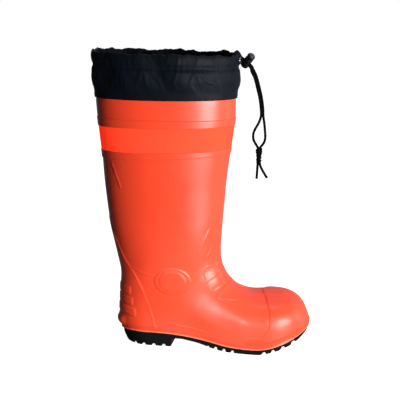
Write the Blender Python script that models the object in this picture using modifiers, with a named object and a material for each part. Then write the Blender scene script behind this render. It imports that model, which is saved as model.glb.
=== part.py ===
"""Right safety wellington: moulded upper, lugged outsole, insole and a gathered snow collar.

Metres, +Z up, toe towards +X, outer (lateral) side towards -Y.
The origin is on the floor under the middle of the heel.
"""

import math
from collections import namedtuple

import bmesh
import bpy
from mathutils import Matrix, Vector

# Driving sizes of the foot
SOLE_LENGTH = 0.2945
BALL_WIDTH = 0.110
HEEL_WIDTH = 0.0756
HEEL_HEIGHT = 0.022
FOREFOOT_THICKNESS = 0.0086
TOE_SPRING = 0.029
TOE_HEIGHT = 0.0798
INSTEP_HEIGHT = 0.141
WALL = 0.0026
LIP = 0.0008
TOE_TILT = 0.11

# Driving sizes of the shaft
SHAFT_HEIGHT = 0.3945
SHAFT_DEPTH = 0.213
SHAFT_WIDTH = 0.117

# Raised forms of the upper
BELT_STEP = 0.0010
CAP_STEP = 0.0009
COUNTER_STEP = 0.0010
RIB_STEP = 0.0012
SPUR_STEP = 0.0042
DISC_STEP = 0.0012
DISC_RADIUS = 0.024

# Sole tread
LUG_DEPTH = 0.0043
LUG_GAP = 0.0052
HEEL_PITCH = 0.0160
FOREFOOT_PITCH = 0.0135
SOLE_DRAFT = 0.0012
SOLE_EDGE = 0.0016
HEEL_RAKE = 0.0050
BREAST_LEAN = 0.0008
LUG_SWEEP = 0.14
WELD = 0.00004
SMOOTH_ANGLE = math.radians(35)

# Insole, collar and their clearances
INSOLE = 0.0032
SEAT_GAP = 0.0004
FIT_GAP = 0.0005
INSOLE_GAP = 0.0014
COLLAR_HEIGHT = 0.068
COLLAR_LAP = 0.010
COLLAR_SLOPE = 0.028
CLOTH = 0.0016

# Drawcord, its eyelets and its toggle
CORD = 0.0035
CORD_GAP = 0.0006
EYELET_RADIUS = 0.0031
EYELET_WIRE = 0.0007
TOGGLE_RADIUS = 0.0061
TOGGLE_LENGTH = 0.0175
TOGGLE_WALL = 0.0011
TOGGLE_REACH = 0.0100
TOGGLE_DROP = 0.0042
TOGGLE_EDGE = 0.0009
BUTTON_STAND = 0.0055
BUTTON_DOME = 0.0045
BUTTON_TRAVEL = 0.003
BUTTON_GAP = 0.0004
KNOT_RADIUS = 0.0046
KNOT_LENGTH = 0.0145
KNOT_GAP = 0.00025
KNOT_SPREAD = 0.0020
STRAND_DROP = 0.1404
TAIL_LENGTH = 0.0246

HEEL_CENTRE = 0.161 * SOLE_LENGTH
HEEL_ROUND = 0.161 * SOLE_LENGTH
TOE_ROUND = 0.235 * SOLE_LENGTH
END_CLOSE = 0.1
SIDE_ZONE = 0.241 * INSTEP_HEIGHT
HEEL_ZONE = 0.213 * INSTEP_HEIGHT
ZONE_START = 0.3735 * SOLE_LENGTH
ZONE_FADE = 0.2037 * SOLE_LENGTH
ZONE_FOOT = 0.004
TILT_START = 0.45 * SOLE_LENGTH
TILT_FADE = 0.2 * SOLE_LENGTH
TILT_RISE = 0.5 * TOE_HEIGHT
EDGE_BLEND = 0.003

# How finely the curved parts are divided
SLICE_STEPS = 120
SHAFT_COLUMNS = 16
COLLAR_COLUMNS = 48
HEEL_STATIONS = 7
MIDDLE_STATIONS = 15
TOE_STATIONS = 9
ROUND_SIDES = 24
KNOT_SIDES = 18
DOME_STEPS = 4

# Plan of the sole: place along its length, middle as a share of the ball width, how far the
# width follows the ball and not the heel, and the half width as a share of that width
Plan = namedtuple("Plan", "along centre ball half_width")
PLAN = (
    Plan(0.000, 0.000, 0.00, 0.500),
    Plan(0.161, 0.000, 0.00, 0.500),
    Plan(0.262, -0.005, 0.00, 0.496),
    Plan(0.362, -0.018, 0.10, 0.457),
    Plan(0.463, -0.023, 0.40, 0.435),
    Plan(0.564, -0.005, 0.75, 0.456),
    Plan(0.664, 0.017, 1.00, 0.483),
    Plan(0.715, 0.023, 1.00, 0.498),
    Plan(0.782, 0.031, 1.00, 0.500),
    Plan(1.000, 0.056, 1.00, 0.500),
)

# Side lines of the sole: shares of the heel height, forefoot thickness and toe spring
SideLine = namedtuple("SideLine", "along heel forefoot spring")
FEATHER = (
    SideLine(0.000, 0.93, 0.00, 0.000),
    SideLine(0.094, 1.03, 0.00, 0.000),
    SideLine(0.262, 1.00, 0.00, 0.000),
    SideLine(0.379, 0.80, 0.13, 0.000),
    SideLine(0.487, 0.50, 0.42, 0.000),
    SideLine(0.597, 0.09, 0.88, 0.000),
    SideLine(0.715, 0.00, 1.00, 0.000),
    SideLine(0.799, 0.00, 1.00, 0.066),
    SideLine(0.879, 0.00, 1.00, 0.310),
    SideLine(0.940, 0.00, 1.00, 0.586),
    SideLine(1.000, 0.00, 1.00, 0.955),
)
TREAD = (
    SideLine(0.000, 0.16, 0.00, 0.00),
    SideLine(0.035, 0.00, 0.00, 0.00),
    SideLine(0.758, 0.00, 0.00, 0.00),
    SideLine(0.799, 0.00, 0.00, 0.07),
    SideLine(0.849, 0.00, 0.00, 0.20),
    SideLine(0.899, 0.00, 0.00, 0.38),
    SideLine(0.940, 0.00, 0.00, 0.58),
    SideLine(0.973, 0.00, 0.00, 0.82),
    SideLine(1.000, 0.00, 0.00, 1.03),
)
ARCH = (
    SideLine(0.289, 0.56, 0.00, 0.00),
    SideLine(0.305, 0.63, 0.00, 0.00),
    SideLine(0.345, 0.62, 0.00, 0.00),
    SideLine(0.382, 0.54, 0.00, 0.00),
    SideLine(0.425, 0.45, 0.00, 0.00),
    SideLine(0.463, 0.33, 0.00, 0.00),
    SideLine(0.500, 0.19, 0.00, 0.00),
    SideLine(0.540, 0.09, 0.00, 0.00),
    SideLine(0.597, 0.01, 0.00, 0.00),
)

# Groups of grooves: place of the first one as a share of the sole's length, and how many
Grooves = namedtuple("Grooves", "along count")
HEEL_GROOVES = Grooves(0.085, 4)
BALL_GROOVES = Grooves(0.477, 4)
TOE_GROOVES = Grooves(0.779, 4)

# Side wall of the sole from the feather line down: shares of its draft, of its rounded edge, of
# the heel's rake and of the way down to the tread
Edge = namedtuple("Edge", "draft edge rake down")
SOLE_WALL = (Edge(0.0, 0.0, 0.0, 0.0), Edge(0.4, 0.0, 0.2, 0.5), Edge(1.0, 0.0, 0.7, 0.8),
             Edge(1.0, 1.0, 1.0, 1.0))
INSOLE_EDGE = 0.2

# Sections of the foot, toe tip to ankle. Each is a slice from a point on the front or top line
# to one on the sole or back line. Places along are shares of the sole length from the heel's
# middle; levels are 0 at the floor, 1 at the toe height, 2 at the instep and 3 at the shaft top;
# fill is the share of the sole's half width and steps the slices up to the next row
Section = namedtuple("Section", "front front_level back back_level fill round_out round_in steps")
FOOT = (
    Section(0.8390, 0.530, 0.8390, 0.30, 1.00, 2.6, 2.8, 1),
    Section(0.8295, 0.645, 0.8285, 0.25, 1.00, 2.6, 2.8, 1),
    Section(0.8145, 0.755, 0.8125, 0.20, 1.00, 2.6, 2.9, 1),
    Section(0.7920, 0.860, 0.7900, 0.14, 1.00, 2.6, 3.0, 1),
    Section(0.7550, 0.950, 0.7550, 0.07, 1.00, 2.7, 3.3, 2),
    Section(0.6950, 0.996, 0.7000, -0.03, 0.99, 2.8, 3.8, 1),
    Section(0.6330, 1.000, 0.6350, -0.08, 0.98, 2.8, 4.0, 1),
    Section(0.6270, 1.000, 0.6290, -0.08, 0.98, 2.8, 4.0, 2),
    Section(0.5260, 1.048, 0.5050, -0.08, 0.97, 2.7, 3.4, 2),
    Section(0.4520, 1.226, 0.3900, -0.05, 0.97, 2.5, 2.8, 2),
    Section(0.4060, 1.505, 0.2400, -0.02, 1.00, 2.3, 2.5, 2),
    Section(0.3825, 1.762, 0.0900, -0.01, 1.03, 2.2, 2.3, 2),
    Section(0.3745, 1.960, -0.0550, 0.05, 1.06, 2.1, 2.2, 2),
    Section(0.3730, 2.020, -0.1150, 0.12, 1.085, 2.1, 2.1, 2),
    Section(0.3725, 2.045, -0.1500, 0.22, 1.110, 2.1, 2.1, 3),
    Section(0.3725, 2.054, -0.1600, 0.263, 1.1205, 2.1, 2.1, 1),
    Section(0.3725, 2.055, -0.1610, 0.272, 1.1220, 2.1, 2.1, 1),
)

# Sections of the shaft: reach from the heel's middle as a share of the shaft depth, width as a
# share of the shaft width, and rise above the instep as a share of the rise to the shaft's top,
# or below it as a share of the instep height
Ring = namedtuple("Ring", "front front_rise back back_rise width round_all steps")
SHAFT = (
    Ring(0.515, 0.060, -0.236, -0.764, 0.730, 2.1, 2),
    Ring(0.517, 0.095, -0.238, -0.647, 0.750, 2.1, 2),
    Ring(0.520, 0.130, -0.233, -0.521, 0.768, 2.1, 2),
    Ring(0.524, 0.178, -0.229, -0.390, 0.787, 2.1, 2),
    Ring(0.531, 0.257, -0.223, -0.2265, 0.808, 2.1, 2),
    Ring(0.541, 0.348, -0.250, 0.000, 0.830, 2.1, 2),
    Ring(0.553, 0.466, -0.301, 0.198, 0.880, 2.1, 2),
    Ring(0.567, 0.562, -0.333, 0.425, 0.935, 2.1, 2),
    Ring(0.579, 0.632, -0.347, 0.596, 0.965, 2.1, 1),
    Ring(0.580, 0.640, -0.348, 0.604, 0.967, 2.1, 2),
    Ring(0.613, 0.842, -0.378, 0.842, 1.000, 2.15, 1),
    Ring(0.614, 0.850, -0.379, 0.850, 1.000, 2.15, 1),
    Ring(0.615, 0.945, -0.386, 0.945, 1.010, 2.2, 1),
    Ring(0.615, 1.000, -0.386, 1.000, 1.010, 2.2, 0),
)

# Lines of the raised forms on the side of the boot, as shares of sole length and instep height
Mark = namedtuple("Mark", "along up")
CAP_LINE = (Mark(0.630, 0.60), Mark(0.634, 0.40), Mark(0.612, 0.22), Mark(0.580, 0.15))
COUNTER_LINE = (Mark(-0.185, 1.25), Mark(-0.100, 0.93), Mark(-0.030, 0.75), Mark(0.040, 0.33))
DISC = Mark(0.144, 0.771)
RIBS = (0.37, 0.48, 0.62)
RIB_WIDTH = 0.035
RIB_END = -0.060
RIB_FADE = 0.012
SPUR = 0.245
SPUR_WIDTH = 0.055
SPUR_END = -0.115
CAP_FOOT = 0.010
FADE = 0.008
BELT_FOOT = 0.6136
BELT_TILT = 0.0391
BELT_HEAD = 0.846
BELT_EDGE = 0.008

# Wall of the collar, up its outside and down its inside: stand-off from the shaft in cloth
# thicknesses, height as a share of the collar, and how much of the gathers shows there
Hem = namedtuple("Hem", "stand height gather")
COLLAR = (
    Hem(1.0, 0.00, 0.0),
    Hem(1.5, 0.16, 0.3),
    Hem(3.2, 0.42, 0.8),
    Hem(3.2, 0.62, 1.0),
    Hem(1.7, 0.71, 0.7),
    Hem(3.0, 0.80, 0.6),
    Hem(3.1, 0.92, 0.8),
    Hem(2.0, 1.00, 1.0),
    Hem(0.4, 0.99, 1.0),
    Hem(0.2, 0.90, 0.8),
    Hem(0.2, 0.72, 0.7),
    Hem(1.4, 0.60, 1.0),
    Hem(1.4, 0.42, 0.8),
    Hem(0.2, 0.22, 0.3),
    Hem(0.0, 0.16, 0.0),
    Hem(0.0, 0.00, 0.0),
)
GATHERS = 9
GATHER_DEPTH = 0.0016
GATHER_START = 0.25
GATHER_RAMP = 0.5
GATHER_SHIFT = 0.7
CASING = COLLAR[5]
CASING_EYELETS = 0.88

# Profile of the knot, as shares of its radius and of its length from the bottom up
Bead = namedtuple("Bead", "radius height")
KNOT = (Bead(0.0, -0.5), Bead(0.86, -0.5), Bead(1.0, -0.28), Bead(0.96, 0.0),
        Bead(1.0, 0.28), Bead(0.86, 0.5), Bead(0.0, 0.5))

# Route of each drawcord strand from the toggle's slot to the knot: how far out and how far down,
# as shares of the strand's drop. Below the knot, the same for the tails as shares of their length
Route = namedtuple("Route", "out down")
STRAND_BACK = (
    Route(0.056, 0.092), Route(0.087, 0.157), Route(0.116, 0.262), Route(0.141, 0.363),
    Route(0.157, 0.472), Route(0.159, 0.559), Route(0.140, 0.631), Route(0.099, 0.707),
    Route(0.083, 0.761), Route(0.090, 0.823), Route(0.126, 0.888),
)
STRAND_FRONT = (
    Route(0.072, 0.065), Route(0.111, 0.139), Route(0.143, 0.251), Route(0.168, 0.356),
    Route(0.185, 0.472), Route(0.188, 0.559), Route(0.198, 0.638), Route(0.205, 0.718),
    Route(0.210, 0.790), Route(0.198, 0.844), Route(0.166, 0.891),
)
KNOT_MIDDLE = Route(0.146, 1.0)
TAIL_BACK = (
    Route(-0.081, 0.356), Route(-0.122, 1.047),
)
TAIL_FRONT = (
    Route(0.106, 0.315), Route(0.276, 0.640), Route(0.508, 1.006),
)

# The toggle hangs turned about the line of the strands that pass through it
CORD_AXIS = Vector((0.772, 0.0, -0.636)).normalized()
TOGGLE_LEAN = math.radians(30)
LEAN = Matrix.Rotation(TOGGLE_LEAN, 3, CORD_AXIS)
STRAND_AXIS = LEAN @ Vector((0.0, 1.0, 0.0))
TOGGLE_AXIS = CORD_AXIS.cross(STRAND_AXIS)
EYELET_SPREAD = 0.0040
EYELET_RISE = -0.0003
STRAND_SPREAD = 0.0020

# Shares: how close the strands come below the toggle, how far either side of its slot they run
# straight in toggle radii, how deep they start in an eyelet's wire, and the barrel below its slot
STRAND_CLOSING = 0.4
SLOT_ENTRY = 1.05
SLOT_EXIT = 1.5
EYELET_SEAT = 0.4
BARREL_BELOW = 0.43
BUTTON_CROWN = 0.15


def clear_scene():
    """Remove every object of the scene."""
    for item in list(bpy.data.objects):
        bpy.data.objects.remove(item, do_unlink=True)


def make_collection(name):
    """Return a new collection linked to the scene."""
    collection = bpy.data.collections.new(name)
    bpy.context.scene.collection.children.link(collection)
    return collection


def make_material(name, colour, roughness, metallic=0.0):
    """Return a Principled material with one colour."""
    material = bpy.data.materials.new(name)
    material.use_nodes = True
    shader = material.node_tree.nodes["Principled BSDF"]
    shader.inputs["Base Color"].default_value = (*colour, 1.0)
    shader.inputs["Roughness"].default_value = roughness
    shader.inputs["Metallic"].default_value = metallic
    return material


def add_mesh(name, points, faces, material, collection, smooth=True):
    """Return an object made of joined faces, with its doubles welded and its normals out."""
    mesh = bpy.data.meshes.new(name)
    mesh.from_pydata(points, [], faces)
    work = bmesh.new()
    work.from_mesh(mesh)
    bmesh.ops.remove_doubles(work, verts=work.verts, dist=WELD)
    bmesh.ops.recalc_face_normals(work, faces=work.faces)
    work.to_mesh(mesh)
    work.free()
    if smooth:
        mesh.shade_smooth()
        mesh.set_sharp_from_angle(angle=SMOOTH_ANGLE)
    mesh.materials.append(material)
    item = bpy.data.objects.new(name, mesh)
    collection.objects.link(item)
    return item


def adopt(item, name, material, collection):
    """Name a primitive, give it its material and move it to the boot's collection."""
    item.name = name
    item.data.name = name
    item.data.materials.clear()
    item.data.materials.append(material)
    item.data.shade_smooth()
    item.data.set_sharp_from_angle(angle=SMOOTH_ANGLE)
    for home in list(item.users_collection):
        home.objects.unlink(item)
    collection.objects.link(item)
    return item


def hide_cutter(item):
    """Mark a cutting shape so that it isn't part of the boot."""
    item.hide_render = True
    item.display_type = "WIRE"


def cut(item, cutter):
    """Subtract one shape from another and keep the cutter as a guide."""
    hide_cutter(cutter)
    modifier = item.modifiers.new("cut_" + cutter.name, "BOOLEAN")
    modifier.operation = "DIFFERENCE"
    modifier.solver = "EXACT"
    modifier.object = cutter


def ease(value):
    """Return a soft step from 0 to 1."""
    value = min(1.0, max(0.0, value))
    return value * value * (3.0 - 2.0 * value)


def through(pairs, place):
    """Return the height at a place of a smooth curve through pairs, with no overshoot."""
    if place <= pairs[0][0]:
        return pairs[0][1]
    if place >= pairs[-1][0]:
        return pairs[-1][1]
    last = len(pairs) - 1
    index = max(i for i in range(last) if pairs[i][0] <= place)

    def slope(i):
        return (pairs[i + 1][1] - pairs[i][1]) / (pairs[i + 1][0] - pairs[i][0])

    def tangent(i):
        if i == 0:
            return slope(0)
        if i == last:
            return slope(last - 1)
        before, after = slope(i - 1), slope(i)
        if before * after <= 0.0:
            return 0.0
        near, far = pairs[i][0] - pairs[i - 1][0], pairs[i + 1][0] - pairs[i][0]
        mean = (before * far + after * near) / (near + far)
        return math.copysign(min(abs(mean), 3 * abs(before), 3 * abs(after)), mean)

    span = pairs[index + 1][0] - pairs[index][0]
    t = (place - pairs[index][0]) / span
    start, end = pairs[index][1], pairs[index + 1][1]
    return ((2 * t ** 3 - 3 * t ** 2 + 1) * start + (t ** 3 - 2 * t ** 2 + t) * span * tangent(index)
            + (3 * t ** 2 - 2 * t ** 3) * end + (t ** 3 - t ** 2) * span * tangent(index + 1))


def column(rows, value):
    """Return the pairs of a plan or side table for one of its values."""
    return [(row.along, value(row)) for row in rows]


PLAN_CENTRE = column(PLAN, lambda row: row.centre * BALL_WIDTH)
PLAN_HALF = column(PLAN, lambda row: row.half_width
                   * (HEEL_WIDTH * (1 - row.ball) + BALL_WIDTH * row.ball))


def side_pairs(rows):
    """Return the pairs of a side line in metres."""
    return column(rows, lambda row: row.heel * HEEL_HEIGHT + row.forefoot * FOREFOOT_THICKNESS
                  + row.spring * TOE_SPRING)


FEATHER_PAIRS = side_pairs(FEATHER)
TREAD_PAIRS = side_pairs(TREAD)
ARCH_PAIRS = side_pairs(ARCH)


def along_of(x):
    """Return the share of the sole's length at a place."""
    return (x + HEEL_CENTRE) / SOLE_LENGTH


def feather_height(x):
    """Return the height of the line where the upper meets the sole."""
    return through(FEATHER_PAIRS, along_of(x))


def tread_height(x):
    """Return the height of the heel's and forefoot's lowest line."""
    return through(TREAD_PAIRS, along_of(x))


def plan_centre(x):
    """Return the middle of the sole."""
    return through(PLAN_CENTRE, along_of(x))


def end_round(x, inset=0.0):
    """Return the share of the width that is left near the round heel and toe."""
    heel = x + HEEL_CENTRE - inset
    toe = SOLE_LENGTH - HEEL_CENTRE - x - inset
    share = 1.0
    if heel < HEEL_ROUND:
        share *= math.sqrt(max(0.0, 1 - (1 - max(0.0, heel) / HEEL_ROUND) ** 2))
    if toe < TOE_ROUND:
        share *= math.sqrt(max(0.0, 1 - (1 - max(0.0, toe) / TOE_ROUND) ** 2))
    return share


def plan_half(x, inset=0.0):
    """Return half the width of the sole, less an inset all round."""
    return (through(PLAN_HALF, along_of(x)) - inset) * end_round(x, inset)


def level_height(level):
    """Return the height of a level of the foot."""
    stops = (0.0, TOE_HEIGHT, INSTEP_HEIGHT, SHAFT_HEIGHT)
    index = min(2, max(0, math.floor(level)))
    return stops[index] + (level - index) * (stops[index + 1] - stops[index])


def rise_height(rise):
    """Return the height of a rise above the instep, or of a drop below it."""
    return INSTEP_HEIGHT + rise * (SHAFT_HEIGHT - INSTEP_HEIGHT if rise > 0.0 else INSTEP_HEIGHT)


def slices():
    """Return every slice of the upper: its two ends, half width and two roundnesses."""
    rows = []
    for row in FOOT:
        middle = 0.5 * (row.front + row.back) * SOLE_LENGTH
        rows.append((row.front * SOLE_LENGTH, level_height(row.front_level),
                     row.back * SOLE_LENGTH, level_height(row.back_level),
                     row.fill * plan_half(middle), row.round_out, row.round_in, row.steps))
    for row in SHAFT:
        rows.append((row.front * SHAFT_DEPTH, rise_height(row.front_rise),
                     row.back * SHAFT_DEPTH, rise_height(row.back_rise),
                     row.width * SHAFT_WIDTH / 2, row.round_all, row.round_all, row.steps))
    tables = [[(index, row[value]) for index, row in enumerate(rows)] for value in range(7)]
    result = []
    for index, row in enumerate(rows):
        for step in range(max(1, row[7])):
            place = index + step / max(1, row[7])
            result.append(tuple(through(table, place) for table in tables))
    return result


def profile_shift(x, height):
    """Return how far the plan of the sole is moved to meet the toe's and heel's own profile."""
    toe = [(level_height(row.front_level), row.front * SOLE_LENGTH) for row in FOOT[:5]]
    heel = [(level_height(FOOT[-1].back_level), FOOT[-1].back * SOLE_LENGTH)]
    heel += [(rise_height(row.back_rise), row.back * SHAFT_DEPTH) for row in SHAFT[:4]]
    tip = SOLE_LENGTH - HEEL_CENTRE
    shift = (tip - through(toe, height)) * ease((x - 0.5 * tip) / (0.5 * tip))
    shift += (-HEEL_CENTRE - through(heel, height)) * ease((0.6 * HEEL_CENTRE - x) / (1.6 * HEEL_CENTRE))
    return shift


def surface_point(piece, turn, side):
    """Return a point of the upper, turn 0 at the front or top line and pi at the back line."""
    front_x, front_z, back_x, back_z, half, round_out, round_in = piece
    power = 2.0 / (round_out if side < 0 else round_in)
    cosine, sine = math.cos(turn), math.sin(turn)
    share = 0.5 * (1.0 - math.copysign(abs(cosine) ** power, cosine))
    x = front_x + (back_x - front_x) * share
    z = front_z + (back_z - front_z) * share
    width = half * abs(sine) ** power
    foot_zone = SIDE_ZONE + HEEL_ZONE * ease((ZONE_START - x) / ZONE_FADE)
    rise = z - feather_height(x) - SEAT_GAP
    low = ease(1.0 - (rise - ZONE_FOOT) / foot_zone)
    width += (plan_half(x + profile_shift(x, z)) - width) * low
    width *= min(1.0, abs(sine) ** power / END_CLOSE)
    centre = plan_centre(x) * ease(1.0 - (z - INSTEP_HEIGHT) / INSTEP_HEIGHT)
    tilt = TOE_TILT * side * width * ease((x - TILT_START) / TILT_FADE) * ease(rise / TILT_RISE)
    return Vector((x, centre + side * width, z + tilt)), rise


def half_slice(piece, side):
    """Return evenly spaced points down one side of a slice, cut off at the feather line."""
    end = math.pi
    previous = 0.0
    for index in range(1, SLICE_STEPS + 1):
        turn = math.pi * index / SLICE_STEPS
        if surface_point(piece, turn, side)[1] < 0.0:
            low, high = previous, turn
            for _ in range(30):
                middle = 0.5 * (low + high)
                if surface_point(piece, middle, side)[1] < 0.0:
                    high = middle
                else:
                    low = middle
            end = low
            break
        previous = turn
    dense = [surface_point(piece, end * index / SLICE_STEPS, side)[0]
             for index in range(SLICE_STEPS + 1)]
    lengths = [0.0]
    for before, after in zip(dense, dense[1:]):
        lengths.append(lengths[-1] + (after - before).length)
    points = []
    cursor = 0
    for index in range(SHAFT_COLUMNS + 1):
        target = lengths[-1] * index / SHAFT_COLUMNS
        while cursor < SLICE_STEPS - 1 and lengths[cursor + 1] < target:
            cursor += 1
        span = lengths[cursor + 1] - lengths[cursor]
        share = (target - lengths[cursor]) / span if span > 0.0 else 0.0
        points.append(dense[cursor].lerp(dense[cursor + 1], share))
    return points


def near_line(line, height):
    """Return where a line drawn on the side of the boot is at a height."""
    pairs = sorted((mark.up * INSTEP_HEIGHT, mark.along * SOLE_LENGTH) for mark in line)
    return through(pairs, height)


def relief(point, rise):
    """Return how far the wall stands out at a point for its caps, ribs, disc and belt."""
    x, y, z = point
    cap = CAP_STEP * ease((x - near_line(CAP_LINE, z)) / EDGE_BLEND + 0.5) * ease((rise - CAP_FOOT) / FADE)
    counter = COUNTER_STEP * ease((near_line(COUNTER_LINE, z) - x) / EDGE_BLEND + 0.5)
    counter *= ease((rise - ZONE_FOOT) / FADE)
    counter *= ease((COUNTER_LINE[0].up * INSTEP_HEIGHT - z) / FADE)
    rise_share = (z - INSTEP_HEIGHT) / (SHAFT_HEIGHT - INSTEP_HEIGHT)
    foot_line = BELT_FOOT + BELT_TILT * x / SHAFT_DEPTH
    belt = BELT_STEP * ease((rise_share - foot_line) / BELT_EDGE + 0.5)
    belt *= ease((BELT_HEAD - rise_share) / BELT_EDGE + 0.5)
    back = ease((RIB_END * SOLE_LENGTH - x) / RIB_FADE)
    ribs = sum(math.exp(-((z / INSTEP_HEIGHT - rib) / RIB_WIDTH) ** 2) for rib in RIBS)
    spur = math.exp(-((z / INSTEP_HEIGHT - SPUR) / SPUR_WIDTH) ** 2)
    spur *= ease((SPUR_END * SOLE_LENGTH - x) / RIB_FADE) * ease(rise / FADE)
    reach = math.hypot(x - DISC.along * SOLE_LENGTH, z - DISC.up * INSTEP_HEIGHT)
    disc = DISC_STEP * ease((DISC_RADIUS - reach) / EDGE_BLEND + 0.5)
    return cap + counter + belt + RIB_STEP * ribs * back + SPUR_STEP * spur + disc


def build_upper(material, collection):
    """Loft the moulded upper through its slices and give it its wall."""
    rows = []
    for piece in slices():
        outer = half_slice(piece, -1)
        inner = half_slice(piece, 1)
        rows.append(list(reversed(outer)) + inner[1:])
    across = 2 * SHAFT_COLUMNS + 1
    raised = []
    for r, row in enumerate(rows):
        for c, point in enumerate(row):
            along = rows[min(r + 1, len(rows) - 1)][c] - rows[max(r - 1, 0)][c]
            closed = (row[0] - row[-1]).length < 0.0001
            before = row[c - 1] if c > 0 else (row[-2] if closed else row[0])
            after = row[c + 1] if c < across - 1 else (row[1] if closed else row[-1])
            normal = (after - before).cross(along)
            if r > 0 and normal.length > 1e-9:
                normal.normalize()
                point = point + normal * relief(point, point.z - feather_height(point.x))
            raised.append(point)
    faces = []
    for r in range(len(rows) - 1):
        for c in range(across - 1):
            first = r * across + c
            faces.append((first, first + 1, first + across + 1, first + across))
    item = add_mesh("upper", raised, faces, material, collection)
    shell = item.modifiers.new("wall", "SOLIDIFY")
    shell.thickness = WALL
    shell.offset = -1.0
    shell.use_even_offset = True
    return item


def sole_stations(inset):
    """Return the places along a sole outline, close together round the heel and toe."""
    heel_tip = -HEEL_CENTRE + inset
    toe_tip = SOLE_LENGTH - HEEL_CENTRE - inset
    heel_end = -HEEL_CENTRE + HEEL_ROUND
    toe_start = SOLE_LENGTH - HEEL_CENTRE - TOE_ROUND
    heel = [heel_end + (heel_tip - heel_end) * math.cos(math.pi / 2 * i / HEEL_STATIONS)
            for i in range(HEEL_STATIONS)]
    middle = [heel_end + (toe_start - heel_end) * i / MIDDLE_STATIONS for i in range(MIDDLE_STATIONS)]
    toe = [toe_start + (toe_tip - toe_start) * math.sin(math.pi / 2 * i / TOE_STATIONS)
           for i in range(TOE_STATIONS + 1)]
    return heel + middle + toe


def ladder_solid(name, levels, material, collection):
    """Stack outlines of the sole, each an inset, a heel rake and a height rule, into one solid."""
    points = []
    count = len(sole_stations(0.0))
    ring = 2 * count - 2
    for inset, rake, height in levels:
        places = sole_stations(inset)
        raked = [x + rake * ease(-x / HEEL_CENTRE) for x in places]
        outer = [(to, plan_centre(x) - plan_half(x, inset), height(x))
                 for x, to in zip(places, raked)]
        inner = [(to, plan_centre(x) + plan_half(x, inset), height(x))
                 for x, to in list(zip(places, raked))[1:-1]]
        points += outer + list(reversed(inner))
    faces = []
    for level in range(len(levels) - 1):
        for c in range(ring):
            after = (c + 1) % ring
            low = level * ring
            faces.append((low + c, low + after, low + ring + after, low + ring + c))
    for low in (0, (len(levels) - 1) * ring):
        for c in range(count - 1):
            left, right = ring - c, ring - c - 1
            face = [low + c, low + c + 1, low + right % ring, low + left % ring]
            faces.append(tuple(dict.fromkeys(face)))
    return add_mesh(name, points, faces, material, collection)


def prism(name, outline, start, end, direction, collection):
    """Return a flat outline pushed along an axis between two places."""
    work = bmesh.new()
    corners = []
    for first, second in outline:
        place = (first, start, second) if direction == "Y" else (first, second, start)
        corners.append(work.verts.new(place))
    face = work.faces.new(corners)
    pushed = bmesh.ops.extrude_face_region(work, geom=[face])
    moved = [part for part in pushed["geom"] if isinstance(part, bmesh.types.BMVert)]
    shift = (0.0, end - start, 0.0) if direction == "Y" else (0.0, 0.0, end - start)
    bmesh.ops.translate(work, verts=moved, vec=shift)
    bmesh.ops.recalc_face_normals(work, faces=work.faces)
    mesh = bpy.data.meshes.new(name)
    work.to_mesh(mesh)
    work.free()
    item = bpy.data.objects.new(name, mesh)
    collection.objects.link(item)
    return item


def arch_cutter(collection):
    """Return the shape that clears the waist between heel breast and ball."""
    below = -HEEL_HEIGHT
    outline = [(row.along * SOLE_LENGTH - HEEL_CENTRE, height)
               for row, (_, height) in zip(ARCH, ARCH_PAIRS)]
    outline = [(outline[0][0] - BREAST_LEAN, below)] + outline + [(outline[-1][0] + LUG_GAP, below)]
    return prism("arch_cutter", outline, -BALL_WIDTH, BALL_WIDTH, "Y", collection)


def arch_height(x):
    """Return the underside of the waist, or the floor outside it."""
    if ARCH[0].along <= along_of(x) <= ARCH[-1].along:
        return through(ARCH_PAIRS, along_of(x))
    return 0.0


def groove_cutters(collection):
    """Return the shapes that part the lugs, straight under the heel and swept at the toe."""
    cutters = []
    groups = ((HEEL_GROOVES, HEEL_PITCH, 0.0), (BALL_GROOVES, FOREFOOT_PITCH, LUG_SWEEP),
              (TOE_GROOVES, FOREFOOT_PITCH, LUG_SWEEP))
    half, wide = LUG_GAP / 2, BALL_WIDTH
    for grooves, pitch, sweep in groups:
        for index in range(grooves.count):
            x = grooves.along * SOLE_LENGTH - HEEL_CENTRE + index * pitch
            floor = max(tread_height(x), arch_height(x)) + LUG_DEPTH
            middle = x + sweep * BALL_WIDTH / 2
            end = middle - sweep * wide
            outline = [(end - half, -wide), (end + half, -wide), (middle + half, 0.0),
                       (end + half, wide), (end - half, wide), (middle - half, 0.0)]
            cutters.append(prism("groove_cutter_%d" % len(cutters), outline,
                                 -HEEL_HEIGHT, floor, "Z", collection))
    return cutters


def build_outsole(material, collection, cutters):
    """Stack the sole's edge, hollow its waist and part its lugs."""
    def height_rule(down):
        return lambda x: feather_height(x) + down * (tread_height(x) - feather_height(x))

    levels = [(LIP + row.draft * SOLE_DRAFT + row.edge * SOLE_EDGE, row.rake * HEEL_RAKE,
               height_rule(row.down)) for row in SOLE_WALL]
    item = ladder_solid("outsole", levels, material, collection)
    cut(item, arch_cutter(cutters))
    for groove in groove_cutters(cutters):
        cut(item, groove)
    return item


def build_insole(material, collection):
    """Lay the insole on the sole inside the upper's wall."""
    inset = WALL + INSOLE_GAP
    levels = (
        (inset + INSOLE_EDGE * INSOLE, 0.0, lambda x: feather_height(x) + INSOLE),
        (inset, 0.0, lambda x: feather_height(x) + (1.0 - INSOLE_EDGE) * INSOLE),
        (inset, 0.0, lambda x: feather_height(x) + SEAT_GAP),
    )
    return ladder_solid("insole", levels, material, collection)


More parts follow.
